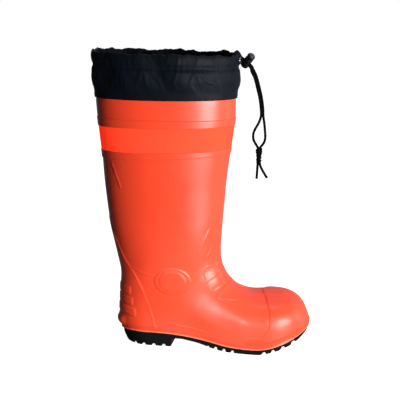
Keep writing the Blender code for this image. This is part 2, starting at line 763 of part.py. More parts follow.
def collar_point(turn, stand, height, gather):
    """Return a point of the collar at a stand-off from the shaft."""
    top = SHAFT[-1]
    half_depth = 0.5 * (top.front - top.back) * SHAFT_DEPTH
    middle = 0.5 * (top.front + top.back) * SHAFT_DEPTH
    front_fade = ease((abs(turn) - GATHER_START) / GATHER_RAMP)
    fold = gather * front_fade * GATHER_DEPTH * math.sin(GATHERS * turn + GATHER_SHIFT * math.sin(2 * turn))
    out = FIT_GAP + stand * CLOTH + fold
    power = 2.0 / top.round_all
    cosine, sine = math.cos(turn), math.sin(turn)
    x = middle + (half_depth + out) * math.copysign(abs(cosine) ** power, cosine)
    half_width = top.width * SHAFT_WIDTH / 2 + out
    y = half_width * math.copysign(abs(sine) ** power, sine)
    slope = height * COLLAR_SLOPE * (middle - x)
    z = SHAFT_HEIGHT - COLLAR_LAP + height * COLLAR_HEIGHT + slope
    return Vector((x, y, z))


def build_collar(material, collection):
    """Turn the collar's wall round the shaft's top as a closed band of cloth."""
    points = []
    for step in range(COLLAR_COLUMNS):
        turn = -math.pi + 2 * math.pi * step / COLLAR_COLUMNS
        points += [collar_point(turn, hem.stand, hem.height, hem.gather) for hem in COLLAR]
    faces = []
    wall = len(COLLAR)
    for step in range(COLLAR_COLUMNS):
        here, beyond = step * wall, (step + 1) % COLLAR_COLUMNS * wall
        for index in range(wall):
            after = (index + 1) % wall
            faces.append((here + index, here + after, beyond + after, beyond + index))
    return add_mesh("snow_collar", points, faces, material, collection)


def casing_front():
    """Return the foremost point of the collar's casing."""
    return collar_point(0.0, CASING.stand, CASING_EYELETS, 0.0)


def toggle_slot():
    """Return the middle of the toggle's cord slot."""
    return casing_front() + Vector((TOGGLE_REACH, 0.0, -TOGGLE_DROP))


def slot_mouth():
    """Return the place just before the toggle's slot where the strands come side by side."""
    return toggle_slot() - CORD_AXIS * SLOT_ENTRY * TOGGLE_RADIUS


def eyelet_place(side):
    """Return the middle of an eyelet on the front of the collar's casing."""
    x = casing_front().x + CORD_GAP + EYELET_WIRE
    return Vector((x, side * EYELET_SPREAD, slot_mouth().z + EYELET_RISE))


def build_eyelet(name, side, material, collection):
    """Seat a round metal eyelet on the casing."""
    bpy.ops.mesh.primitive_torus_add(
        major_segments=18, minor_segments=8, major_radius=EYELET_RADIUS, minor_radius=EYELET_WIRE,
        location=eyelet_place(side), rotation=(0.0, math.pi / 2, 0.0))
    return adopt(bpy.context.object, name, material, collection)


def toggle_turn():
    """Return the turn that brings +X to the line between the strands and +Z to the toggle's axis."""
    return Matrix((STRAND_AXIS, -CORD_AXIS, TOGGLE_AXIS)).transposed().to_euler()


def toggle_point(distance):
    """Return a point on the toggle's axis, from the middle of its cord slot."""
    return toggle_slot() + TOGGLE_AXIS * distance


def add_cylinder(name, radius, start, end, material, collection):
    """Return a cylinder on the toggle's axis between two distances."""
    bpy.ops.mesh.primitive_cylinder_add(
        vertices=ROUND_SIDES, radius=radius, depth=end - start,
        location=toggle_point(0.5 * (start + end)), rotation=toggle_turn())
    return adopt(bpy.context.object, name, material, collection)


def add_turned(name, profile, middle, axis, sides, material, collection):
    """Return a solid turned round an axis from radii and distances, both ends on the axis."""
    across = axis.orthogonal().normalized()
    up = axis.cross(across)
    points = []
    for radius, distance in profile:
        for side in range(sides):
            turn = 2 * math.pi * side / sides
            reach = radius * (math.cos(turn) * across + math.sin(turn) * up)
            points.append(middle + axis * distance + reach)
    faces = []
    for low in range(0, (len(profile) - 1) * sides, sides):
        for side in range(sides):
            after = (side + 1) % sides
            faces.append((low + side, low + after, low + sides + after, low + sides + side))
    return add_mesh(name, points, faces, material, collection)


def button_profile(low, head_foot, crown, stem):
    """Return the button's radii and distances: its stem, its head and the head's dome."""
    profile = [(0.0, low), (stem, low), (stem, head_foot), (TOGGLE_RADIUS, head_foot)]
    flat = BUTTON_CROWN * TOGGLE_RADIUS
    for step in range(DOME_STEPS + 1):
        turn = math.pi / 2 * step / DOME_STEPS
        profile.append((flat + (TOGGLE_RADIUS - flat) * math.cos(turn),
                        crown - BUTTON_DOME * (1.0 - math.sin(turn))))
    return profile + [(0.0, crown)]


def build_toggle(barrel_material, button_material, collection, cutters):
    """Make the cord lock: a barrel with a cord slot and a bore, and its push button."""
    slot_half = CORD / 2 + CORD_GAP
    foot = -BARREL_BELOW * TOGGLE_LENGTH
    mouth = foot + TOGGLE_LENGTH
    barrel = add_cylinder("toggle_barrel", TOGGLE_RADIUS, foot, mouth, barrel_material, collection)
    edge = barrel.modifiers.new("edge", "BEVEL")
    edge.width = TOGGLE_EDGE
    edge.segments = 2
    edge.limit_method = "ANGLE"
    bore_radius = TOGGLE_RADIUS - TOGGLE_WALL
    bore = add_cylinder("bore_cutter", bore_radius, 0.0, mouth + TOGGLE_WALL, barrel_material,
                        cutters)
    cut(barrel, bore)
    bpy.ops.mesh.primitive_cube_add(size=1.0, location=toggle_slot(), rotation=toggle_turn())
    slot = adopt(bpy.context.object, "slot_cutter", barrel_material, cutters)
    slot.scale = (2 * (STRAND_SPREAD + slot_half), 4 * TOGGLE_RADIUS, 2 * slot_half)
    cut(barrel, slot)
    profile = button_profile(slot_half + BUTTON_TRAVEL + BUTTON_GAP,
                             mouth + BUTTON_TRAVEL + BUTTON_GAP,
                             mouth + BUTTON_TRAVEL + BUTTON_STAND, bore_radius - BUTTON_GAP)
    button = add_turned("toggle_button", profile, toggle_slot(), TOGGLE_AXIS, ROUND_SIDES,
                        button_material, collection)
    return barrel, button


def smooth_route(points, spacing):
    """Return evenly spaced points of a smooth curve through a route's own points."""
    route = [Vector(point) for point in points]
    ends = [2 * route[0] - route[1]] + route + [2 * route[-1] - route[-2]]
    dense = []
    for index in range(1, len(ends) - 2):
        a, b, c, d = ends[index - 1:index + 3]
        for step in range(16):
            t = step / 16
            dense.append(0.5 * (2 * b + (c - a) * t + (2 * a - 5 * b + 4 * c - d) * t ** 2
                                + (3 * b - a - 3 * c + d) * t ** 3))
    dense.append(route[-1])
    lengths = [0.0]
    for before, after in zip(dense, dense[1:]):
        lengths.append(lengths[-1] + (after - before).length)
    count = max(2, round(lengths[-1] / spacing))
    result = []
    cursor = 0
    for index in range(count + 1):
        target = lengths[-1] * index / count
        while cursor < len(dense) - 2 and lengths[cursor + 1] < target:
            cursor += 1
        share = (target - lengths[cursor]) / (lengths[cursor + 1] - lengths[cursor])
        result.append(dense[cursor].lerp(dense[cursor + 1], min(1.0, share)))
    return result


def build_cord(name, points, material, collection):
    """Return a round cord along a route."""
    route = smooth_route(points, 1.8 * CORD)
    curve = bpy.data.curves.new(name, "CURVE")
    curve.dimensions = "3D"
    curve.bevel_depth = CORD / 2
    curve.bevel_resolution = 2
    curve.use_fill_caps = True
    spline = curve.splines.new("POLY")
    spline.points.add(len(route) - 1)
    for point, place in zip(spline.points, route):
        point.co = (*place, 1.0)
    curve.materials.append(material)
    item = bpy.data.objects.new(name, curve)
    collection.objects.link(item)
    return item


def knot_middle():
    """Return the middle of the knot."""
    return toggle_slot() + Vector((KNOT_MIDDLE.out, 0.0, -KNOT_MIDDLE.down)) * STRAND_DROP


def knot_mouth(side, end):
    """Return where a cord meets the knot, end 1 on top and -1 below."""
    rise = end * (KNOT_LENGTH / 2 + KNOT_GAP)
    return knot_middle() + Vector((side * KNOT_SPREAD, side * STRAND_CLOSING * STRAND_SPREAD, rise))


def strand_points(side, drop):
    """Return a strand's route: eyelet, toggle slot, drop and its side of the loop."""
    eyelet = eyelet_place(side)
    reach = Vector((EYELET_WIRE, 0.0, 0.0))
    points = [eyelet - EYELET_SEAT * reach, eyelet + reach]
    apart = side * STRAND_SPREAD
    slot = toggle_slot()
    for place in (slot_mouth(), slot, slot + CORD_AXIS * SLOT_EXIT * TOGGLE_RADIUS):
        points.append(place + STRAND_AXIS * apart)
    for stop in drop:
        points.append(Vector((slot.x + stop.out * STRAND_DROP, STRAND_CLOSING * apart,
                              slot.z - stop.down * STRAND_DROP)))
    return points + [knot_mouth(side, 1)]


def tail_points(side, fall):
    """Return a tail's route from the knot to its cut end."""
    mouth = knot_mouth(side, -1)
    knot = knot_middle()
    return [mouth] + [Vector((knot.x + stop.out * TAIL_LENGTH, mouth.y,
                              mouth.z - stop.down * TAIL_LENGTH)) for stop in fall]


def build_knot(material, collection):
    """Turn the knot's profile, with a flat end for the cords above and below."""
    profile = [(bead.radius * KNOT_RADIUS, bead.height * KNOT_LENGTH) for bead in KNOT]
    return add_turned("drawcord_knot", profile, knot_middle(), Vector((0.0, 0.0, 1.0)),
                      KNOT_SIDES, material, collection)


def build_drawcord(material, collection):
    """Make both strands, their knot and the two tails."""
    build_cord("drawcord_outer", strand_points(-1, STRAND_BACK), material, collection)
    build_cord("drawcord_inner", strand_points(1, STRAND_FRONT), material, collection)
    build_knot(material, collection)
    build_cord("drawcord_tail_outer", tail_points(-1, TAIL_BACK), material, collection)
    build_cord("drawcord_tail_inner", tail_points(1, TAIL_FRONT), material, collection)


def main():
    """Build the boot."""
    clear_scene()
    boot = make_collection("safety_boot")
    cutters = make_collection("cutters")
    orange = make_material("moulded_orange", (0.90, 0.075, 0.020), 0.32)
    black = make_material("outsole_black", (0.012, 0.012, 0.013), 0.55)
    felt = make_material("insole_grey", (0.10, 0.10, 0.11), 0.90)
    nylon = make_material("collar_nylon", (0.010, 0.013, 0.020), 0.45)
    steel = make_material("eyelet_steel", (0.60, 0.61, 0.63), 0.25, 1.0)
    plastic = make_material("toggle_black", (0.010, 0.010, 0.012), 0.35)
    grey = make_material("button_grey", (0.060, 0.085, 0.105), 0.40)
    braid = make_material("cord_black", (0.012, 0.012, 0.014), 0.80)
    build_outsole(black, boot, cutters)
    build_upper(orange, boot)
    build_insole(felt, boot)
    build_collar(nylon, boot)
    build_eyelet("eyelet_outer", -1, steel, boot)
    build_eyelet("eyelet_inner", 1, steel, boot)
    build_toggle(plastic, grey, boot, cutters)
    build_drawcord(braid, boot)


main()
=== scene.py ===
"""Looks of a right safety wellington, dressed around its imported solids.

Metres, +Z up, toe towards +X, outer side of the foot towards -Y. The origin is on the floor
under the middle of the heel.
"""

import logging
import math
from collections.abc import Sequence
from dataclasses import dataclass, field, replace
from enum import Enum

import bmesh
import bpy
import numpy as np
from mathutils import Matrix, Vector


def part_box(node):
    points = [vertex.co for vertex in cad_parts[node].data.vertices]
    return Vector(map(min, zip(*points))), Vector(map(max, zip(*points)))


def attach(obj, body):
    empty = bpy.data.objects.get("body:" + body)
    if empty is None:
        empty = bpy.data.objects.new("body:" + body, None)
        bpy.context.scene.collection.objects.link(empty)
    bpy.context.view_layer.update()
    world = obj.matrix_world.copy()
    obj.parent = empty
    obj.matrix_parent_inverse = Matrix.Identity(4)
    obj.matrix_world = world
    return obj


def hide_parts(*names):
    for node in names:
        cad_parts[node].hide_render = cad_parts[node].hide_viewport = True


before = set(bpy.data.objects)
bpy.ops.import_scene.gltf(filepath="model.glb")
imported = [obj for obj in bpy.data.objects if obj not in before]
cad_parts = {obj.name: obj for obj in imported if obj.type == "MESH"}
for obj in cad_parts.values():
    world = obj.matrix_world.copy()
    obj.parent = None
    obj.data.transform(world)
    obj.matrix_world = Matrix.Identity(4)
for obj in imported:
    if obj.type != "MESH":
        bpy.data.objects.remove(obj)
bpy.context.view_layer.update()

logging.basicConfig(level=logging.INFO, format="%(message)s")
LOG = logging.getLogger("wellington")

Point = tuple[float, float, float]
Pair = tuple[float, float]
Face = tuple[int, ...]
Table = tuple[tuple[float, ...], ...]

MM = 0.001
WELD = 0.00002
FULL_TURN = 2 * math.pi
FAR = 1e9

SHEEN_SPREAD = 0.45
CLOUD_SIZE, CLOUD_LAYERS = 0.055, 4.0
WIPED_SIZE, WIPED_LAYERS = 0.018, 5.0
WIPED_RANGE = (0.3, 0.7)
LEAST_ROUGHNESS = 0.03
SCUFF_SIZE, SCUFF_LAYERS = 0.004, 6.0
SCUFF_STRETCH, SCUFF_TURN = (1.0, 1.0, 0.18), (0.3, 0.9, 0.2)
THREAD_PITCH = 0.31
BRAID_DEPTH = 0.00012


class Side(Enum):
    """Side of the foot, with the sign of Y there."""

    OUTER = -1
    INNER = 1


class Grain(Enum):
    """Fine surface of a finish."""

    MOULDED = "moulded"
    RUBBER = "rubber"
    CLOTH = "cloth"
    BRAID = "braid"
    FELT = "felt"
    POLISHED = "polished"


class Form(Enum):
    """Cross-section of a moulded line."""

    RIDGE = "ridge"
    STEP = "step"
    LEDGE = "ledge"


def ease(value: np.ndarray | float) -> np.ndarray:
    """Return a soft step from 0 to 1.

    Args:
        value: Place on the step, where 0 is its start and 1 its end.

    Returns:
        The height of the step there.
    """
    held = np.clip(value, 0.0, 1.0)
    return held * held * (3.0 - 2.0 * held)


def hump(value: np.ndarray | float) -> np.ndarray:
    """Return a soft bump that is 1 at 0 and dies away on both sides."""
    return np.exp(-np.square(value))


def around(count: int) -> np.ndarray:
    """Return evenly spaced turns round a circle, the first at 0."""
    return np.linspace(0.0, FULL_TURN, count + 1)[:-1]


def run(path: np.ndarray) -> np.ndarray:
    """Return the distance along a path at each of its points."""
    return np.concatenate([[0.0], np.cumsum(np.linalg.norm(np.diff(path, axis=0), axis=1))])


def between(place: np.ndarray | float, length: np.ndarray, path: np.ndarray) -> np.ndarray:
    """Return the points at distances along a path.

    Args:
        place: Distances along the path.
        length: Distance along the path at each of its points.
        path: The path's points.

    Returns:
        A point for each distance.
    """
    return np.stack([np.interp(place, length, path[:, k]) for k in range(3)], -1)


def spline(stops: np.ndarray, steps: int) -> np.ndarray:
    """Return points of a smooth curve through stops.

    Args:
        stops: Points that the curve passes.
        steps: Points from one stop to the next.

    Returns:
        The curve's points, with the last stop at the end.
    """
    ends = np.vstack([2 * stops[0] - stops[1], stops, 2 * stops[-1] - stops[-2]])
    points = []
    for a, b, c, d in zip(ends, ends[1:], ends[2:], ends[3:]):
        for t in np.linspace(0.0, 1.0, steps + 1)[:-1]:
            points.append(0.5 * (2 * b + (c - a) * t + (2 * a - 5 * b + 4 * c - d) * t ** 2
                                 + (3 * b - a - 3 * c + d) * t ** 3))
    return np.array(points + [stops[-1]])


def put(name: str, data: bpy.types.ID) -> bpy.types.Object:
    """Put a new object into the scene.

    Args:
        name: Name of the object.
        data: Its mesh, lamp or camera data.

    Returns:
        The object.
    """
    item = bpy.data.objects.new(name, data)
    bpy.context.scene.collection.objects.link(item)
    return item


class Track:
    """Smooth curve through pairs, with no overshoot."""

    def __init__(self, pairs: Sequence[Pair]) -> None:
        """Set up the curve.

        Args:
            pairs: Places and heights, with the places in rising order.
        """
        self.places, self.heights = np.array(pairs, float).T
        steps = np.diff(self.places)
        slopes = np.diff(self.heights) / steps
        tangents = np.empty(len(self.places))
        tangents[0], tangents[-1] = slopes[0], slopes[-1]
        before, after, near, far = slopes[:-1], slopes[1:], steps[:-1], steps[1:]
        mean = (before * far + after * near) / (near + far)
        limit = 3.0 * np.minimum(np.abs(before), np.abs(after))
        mean = np.sign(mean) * np.minimum(np.abs(mean), limit)
        tangents[1:-1] = np.where(before * after > 0.0, mean, 0.0)
        self.tangents = tangents

    def at(self, place: np.ndarray | float) -> np.ndarray:
        """Return the height at one or more places.

        Args:
            place: Places along the curve.

        Returns:
            The heights there, held at the end values outside the curve.
        """
        held = np.clip(place, self.places[0], self.places[-1])
        index = np.searchsorted(self.places, held, side="right") - 1
        index = np.clip(index, 0, len(self.places) - 2)
        span = self.places[index + 1] - self.places[index]
        t = (held - self.places[index]) / span
        start, end = self.heights[index], self.heights[index + 1]
        rise_in, rise_out = self.tangents[index] * span, self.tangents[index + 1] * span
        return ((2 * t ** 3 - 3 * t ** 2 + 1) * start + (t ** 3 - 2 * t ** 2 + t) * rise_in
                + (3 * t ** 2 - 2 * t ** 3) * end + (t ** 3 - t ** 2) * rise_out)


class Ripple:
    """Repeatable random waves, used for folds and unevenness."""

    def __init__(self, seed: int, waves: int, shortest: float, longest: float) -> None:
        """Draw the waves.

        Args:
            seed: Seed of the random draws.
            waves: How many waves are summed.
            shortest: Shortest wave length in metres.
            longest: Longest wave length in metres.
        """
        draw = np.random.default_rng(seed)
        lengths = np.exp(draw.uniform(math.log(shortest), math.log(longest), waves))
        aims = draw.normal(size=(waves, 3))
        aims /= np.linalg.norm(aims, axis=1)[:, None]
        self.waves = aims * (2.0 * math.pi / lengths)[:, None]
        self.phases = draw.uniform(0.0, 2.0 * math.pi, waves)
        self.scale = 1.0 / math.sqrt(waves / 2.0)

    def at(self, points: np.ndarray) -> np.ndarray:
        """Return the summed waves at points, mostly between -2 and 2."""
        return np.sin(points @ self.waves.T + self.phases).sum(-1) * self.scale


@dataclass(frozen=True)
class Finish:
    """One material: its colour, gloss and fine surface."""

    name: str
    colour: Point
    roughness: float
    grain: Grain
    grain_size: float = 0.0012
    grain_depth: float = 0.00003
    mottling: float = 0.05
    gloss_spread: float = 0.05
    specular: float = 0.5
    coat: float = 0.0
    coat_roughness: float = 0.3
    sheen: float = 0.0
    metallic: float = 0.0
    glow: Point = (0.0, 0.0, 0.0)
    scuffs: float = 0.0

    def build(self) -> bpy.types.Material:
        """Make the material.

        Returns:
            The node-based material of this finish.
        """
        material = bpy.data.materials.new(self.name)
        material.use_nodes = True
        tree = material.node_tree
        shader = tree.nodes["Principled BSDF"]
        sockets = shader.inputs
        sockets["Metallic"].default_value = self.metallic
        sockets["Specular IOR Level"].default_value = self.specular
        sockets["Coat Weight"].default_value = self.coat
        sockets["Coat Roughness"].default_value = self.coat_roughness
        sockets["Sheen Weight"].default_value = self.sheen
        sockets["Sheen Roughness"].default_value = SHEEN_SPREAD
        if max(self.glow) > 0.0:
            sockets["Emission Color"].default_value = (*self.glow, 1.0)
            sockets["Emission Strength"].default_value = 1.0
        place = tree.nodes.new("ShaderNodeTexCoord").outputs["Object"]
        cloud = self._noise(tree, place, CLOUD_SIZE, CLOUD_LAYERS)
        tone = tree.nodes.new("ShaderNodeMix")
        tone.data_type = "RGBA"
        low = tuple(channel * (1.0 - self.mottling) for channel in self.colour)
        high = tuple(min(1.0, channel * (1.0 + self.mottling)) for channel in self.colour)
        tone.inputs["A"].default_value = (*low, 1.0)
        tone.inputs["B"].default_value = (*high, 1.0)
        tree.links.new(cloud, tone.inputs["Factor"])
        tree.links.new(tone.outputs["Result"], sockets["Base Color"])
        self._gloss(tree, place, sockets["Roughness"])
        self._bump(tree, place, sockets["Normal"])
        return material

    def _noise(self, tree: bpy.types.NodeTree, place: bpy.types.NodeSocket, size: float,
               detail: float) -> bpy.types.NodeSocket:
        """Add a noise texture.

        Args:
            tree: The material's nodes.
            place: Coordinates in metres.
            size: Size of one blotch in metres.
            detail: Layers of finer noise.

        Returns:
            The texture's value socket.
        """
        texture = tree.nodes.new("ShaderNodeTexNoise")
        texture.inputs["Scale"].default_value = 1.0 / size
        texture.inputs["Detail"].default_value = detail
        tree.links.new(place, texture.inputs["Vector"])
        return texture.outputs["Fac"]

    def _gloss(self, tree: bpy.types.NodeTree, place: bpy.types.NodeSocket,
               socket: bpy.types.NodeSocket) -> None:
        """Vary the roughness with wiped and handled patches.

        Args:
            tree: The material's nodes.
            place: Coordinates in metres.
            socket: The shader's roughness.
        """
        patches = self._noise(tree, place, WIPED_SIZE, WIPED_LAYERS)
        spread = tree.nodes.new("ShaderNodeMapRange")
        spread.inputs["From Min"].default_value = WIPED_RANGE[0]
        spread.inputs["From Max"].default_value = WIPED_RANGE[1]
        low, high = self.roughness - self.gloss_spread, self.roughness + self.gloss_spread
        spread.inputs["To Min"].default_value = max(LEAST_ROUGHNESS, low)
        spread.inputs["To Max"].default_value = min(1.0, high)
        tree.links.new(patches, spread.inputs["Value"])
        tree.links.new(spread.outputs["Result"], socket)

    def _bump(self, tree: bpy.types.NodeTree, place: bpy.types.NodeSocket,
              socket: bpy.types.NodeSocket) -> None:
        """Add the fine surface: grain, weave or braid, and scuffs on moulded parts.

        Args:
            tree: The material's nodes.
            place: Coordinates in metres.
            socket: The shader's normal.
        """
        if self.grain in (Grain.CLOTH, Grain.BRAID):
            height = self._weave(tree, place)
        else:
            detail = {Grain.FELT: 8.0, Grain.POLISHED: 1.0}.get(self.grain, 3.0)
            height = self._noise(tree, place, self.grain_size, detail)
        bump = tree.nodes.new("ShaderNodeBump")
        bump.inputs["Strength"].default_value = 1.0
        bump.inputs["Distance"].default_value = self.grain_depth
        tree.links.new(height, bump.inputs["Height"])
        if self.scuffs > 0.0:
            stretch = tree.nodes.new("ShaderNodeMapping")
            stretch.inputs["Scale"].default_value = SCUFF_STRETCH
            stretch.inputs["Rotation"].default_value = SCUFF_TURN
            tree.links.new(place, stretch.inputs["Vector"])
            marks = self._noise(tree, stretch.outputs["Vector"], SCUFF_SIZE, SCUFF_LAYERS)
            over = tree.nodes.new("ShaderNodeBump")
            over.inputs["Strength"].default_value = 1.0
            over.inputs["Distance"].default_value = self.scuffs
            tree.links.new(marks, over.inputs["Height"])
            tree.links.new(bump.outputs["Normal"], over.inputs["Normal"])
            bump = over
        tree.links.new(bump.outputs["Normal"], socket)

    def _weave(self, tree: bpy.types.NodeTree,
               place: bpy.types.NodeSocket) -> bpy.types.NodeSocket:
        """Add warp and weft threads, broken up by a little noise.

        Args:
            tree: The material's nodes.
            place: Coordinates in metres.

        Returns:
            The height of the threads.
        """
        waves = []
        for direction in ("X", "Z"):
            wave = tree.nodes.new("ShaderNodeTexWave")
            wave.bands_direction = direction
            wave.inputs["Scale"].default_value = THREAD_PITCH / self.grain_size
            wave.inputs["Distortion"].default_value = 0.6
            wave.inputs["Detail"].default_value = 1.0
            tree.links.new(place, wave.inputs["Vector"])
            waves.append(wave.outputs["Fac"])
        over = tree.nodes.new("ShaderNodeMath")
        over.operation = "MAXIMUM"
        tree.links.new(waves[0], over.inputs[0])
        tree.links.new(waves[1], over.inputs[1])
        return over.outputs["Value"]


@dataclass(frozen=True)
class Palette:
    """Every finish of the boot."""

    orange: Finish = Finish("orange_moulding", (0.95, 0.065, 0.023), 0.40, Grain.MOULDED,
                            grain_size=0.0009, grain_depth=0.000012, mottling=0.05, specular=0.45,
                            coat=0.08, coat_roughness=0.30, scuffs=0.00004)
    # The band's own matt orange, plus a painted glow: emission that keeps it bright where shade
    # falls.
    tape: Finish = Finish("orange_band_painted_glow", (0.95, 0.060, 0.024), 0.85, Grain.MOULDED,
                          grain_size=0.0007, grain_depth=0.00002, mottling=0.03, specular=0.15,
                          glow=(0.75, 0.022, 0.006))
    # The lip's own orange, lightened as a painted highlight along the edge.
    lip: Finish = Finish("lip_orange_painted_highlight", (1.0, 0.20, 0.085), 0.42, Grain.MOULDED,
                         grain_size=0.0009, grain_depth=0.00001, mottling=0.04)
    sole: Finish = Finish("sole_rubber", (0.0030, 0.0030, 0.0031), 0.75, Grain.RUBBER,
                          grain_size=0.0007, grain_depth=0.00005, mottling=0.25, specular=0.14,
                          scuffs=0.00006)
    nylon: Finish = Finish("collar_nylon", (0.0028, 0.0042, 0.0080), 0.56, Grain.CLOTH,
                           grain_size=0.00055, grain_depth=0.00002, mottling=0.15, specular=0.09,
                           sheen=0.01)
    thread: Finish = Finish("black_thread", (0.003, 0.004, 0.006), 0.70, Grain.BRAID,
                            grain_size=0.0003, grain_depth=0.00004, specular=0.15)
    cord: Finish = Finish("cord_braid", (0.0012, 0.0012, 0.0014), 0.85, Grain.BRAID,
                          grain_size=0.0005, grain_depth=0.00006, mottling=0.2, specular=0.06)
    barrel: Finish = Finish("toggle_plastic", (0.0022, 0.0022, 0.0026), 0.46, Grain.MOULDED,
                            grain_size=0.0006, grain_depth=0.00001, mottling=0.1, specular=0.25,
                            scuffs=0.00002)
    # Grey-blue face of the button's dome: a painted reflection on black plastic.
    button: Finish = Finish("button_face_painted_reflection", (0.022, 0.036, 0.048), 0.38, Grain.MOULDED,
                            grain_size=0.0006, grain_depth=0.00001, mottling=0.12)
    steel: Finish = Finish("eyelet_metal", (0.75, 0.76, 0.80), 0.38, Grain.POLISHED,
                           grain_size=0.002, grain_depth=0.00001, metallic=1.0)
    felt: Finish = Finish("footbed_felt", (0.085, 0.085, 0.092), 0.95, Grain.FELT,
                          grain_size=0.0012, grain_depth=0.0002, mottling=0.25, specular=0.1,
                          sheen=0.3)
    lining: Finish = Finish("knit_lining", (0.33, 0.32, 0.30), 0.95, Grain.CLOTH,
                            grain_size=0.0013, grain_depth=0.0002, mottling=0.10, specular=0.1,
                            sheen=0.2)
    floor: Finish = Finish("studio_floor", (0.90, 0.90, 0.90), 0.75, Grain.MOULDED,
                           grain_size=0.004, grain_depth=0.00001, mottling=0.0, specular=0.1,
                           glow=(0.93, 0.93, 0.93))

    def material(self, finish: Finish) -> bpy.types.Material:
        """Return the material of a finish, made the first time it is asked for."""
        return bpy.data.materials.get(finish.name) or finish.build()


PALETTE = Palette()


class Piece:
    """Points and faces that become one mesh object."""

    def __init__(self, name: str) -> None:
        """Start an empty piece.

        Args:
            name: Name of the object.
        """
        self.name = name
        self.points: list[np.ndarray] = []
        self.faces: list[Face] = []
        self.count = 0

    def add(self, points: np.ndarray, faces: Sequence[Face]) -> None:
        """Add points and the faces between them.

        Args:
            points: Array of places, three numbers each.
            faces: Faces as indexes into these points.
        """
        flat = np.asarray(points, float).reshape(-1, 3)
        self.points.append(flat)
        self.faces += [tuple(i + self.count for i in face) for face in faces]
        self.count += len(flat)

    def add_grid(self, grid: np.ndarray, wrap_rows: bool = False,
                 wrap_columns: bool = False) -> None:
        """Add a sheet of quads.

        Args:
            grid: Places in rows and columns.
            wrap_rows: Whether the last row meets the first.
            wrap_columns: Whether the last column meets the first.
        """
        rows, columns = grid.shape[:2]
        number = np.arange(rows * columns).reshape(rows, columns)
        if wrap_rows:
            number = np.vstack([number, number[:1]])
        if wrap_columns:
            number = np.hstack([number, number[:, :1]])
        quads = np.stack([number[:-1, :-1], number[:-1, 1:], number[1:, 1:],
                          number[1:, :-1]], -1)
        self.add(grid, [tuple(quad) for quad in quads.reshape(-1, 4).tolist()])

    def finish(self, body: str, finish: Finish, slot: str, replaces: Sequence[str] = (),
               smooth_angle: float = 40.0) -> bpy.types.Object:
        """Weld the piece, dress it and set it on its body.

        Args:
            body: Name of the body that carries it.
            finish: Its material.
            slot: Its material slot in the record; not used.
            replaces: Solids that it stands for.
            smooth_angle: Edges sharper than this many degrees stay sharp.

        Returns:
            The finished object.
        """
        mesh = bpy.data.meshes.new(self.name)
        mesh.from_pydata(np.vstack(self.points).tolist(), [], self.faces)
        work = bmesh.new()
        work.from_mesh(mesh)
        bmesh.ops.remove_doubles(work, verts=work.verts, dist=WELD)
        bmesh.ops.dissolve_degenerate(work, edges=work.edges, dist=WELD / 4)
        bmesh.ops.recalc_face_normals(work, faces=work.faces)
        work.to_mesh(mesh)
        work.free()
        mesh.shade_smooth()
        mesh.set_sharp_from_angle(angle=math.radians(smooth_angle))
        mesh.materials.append(PALETTE.material(finish))
        item = put(self.name, mesh)
        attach(item, body)
        if replaces:
            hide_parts(*replaces)
        LOG.info("%s: %d faces on %s", self.name, len(mesh.polygons), body)
        return item


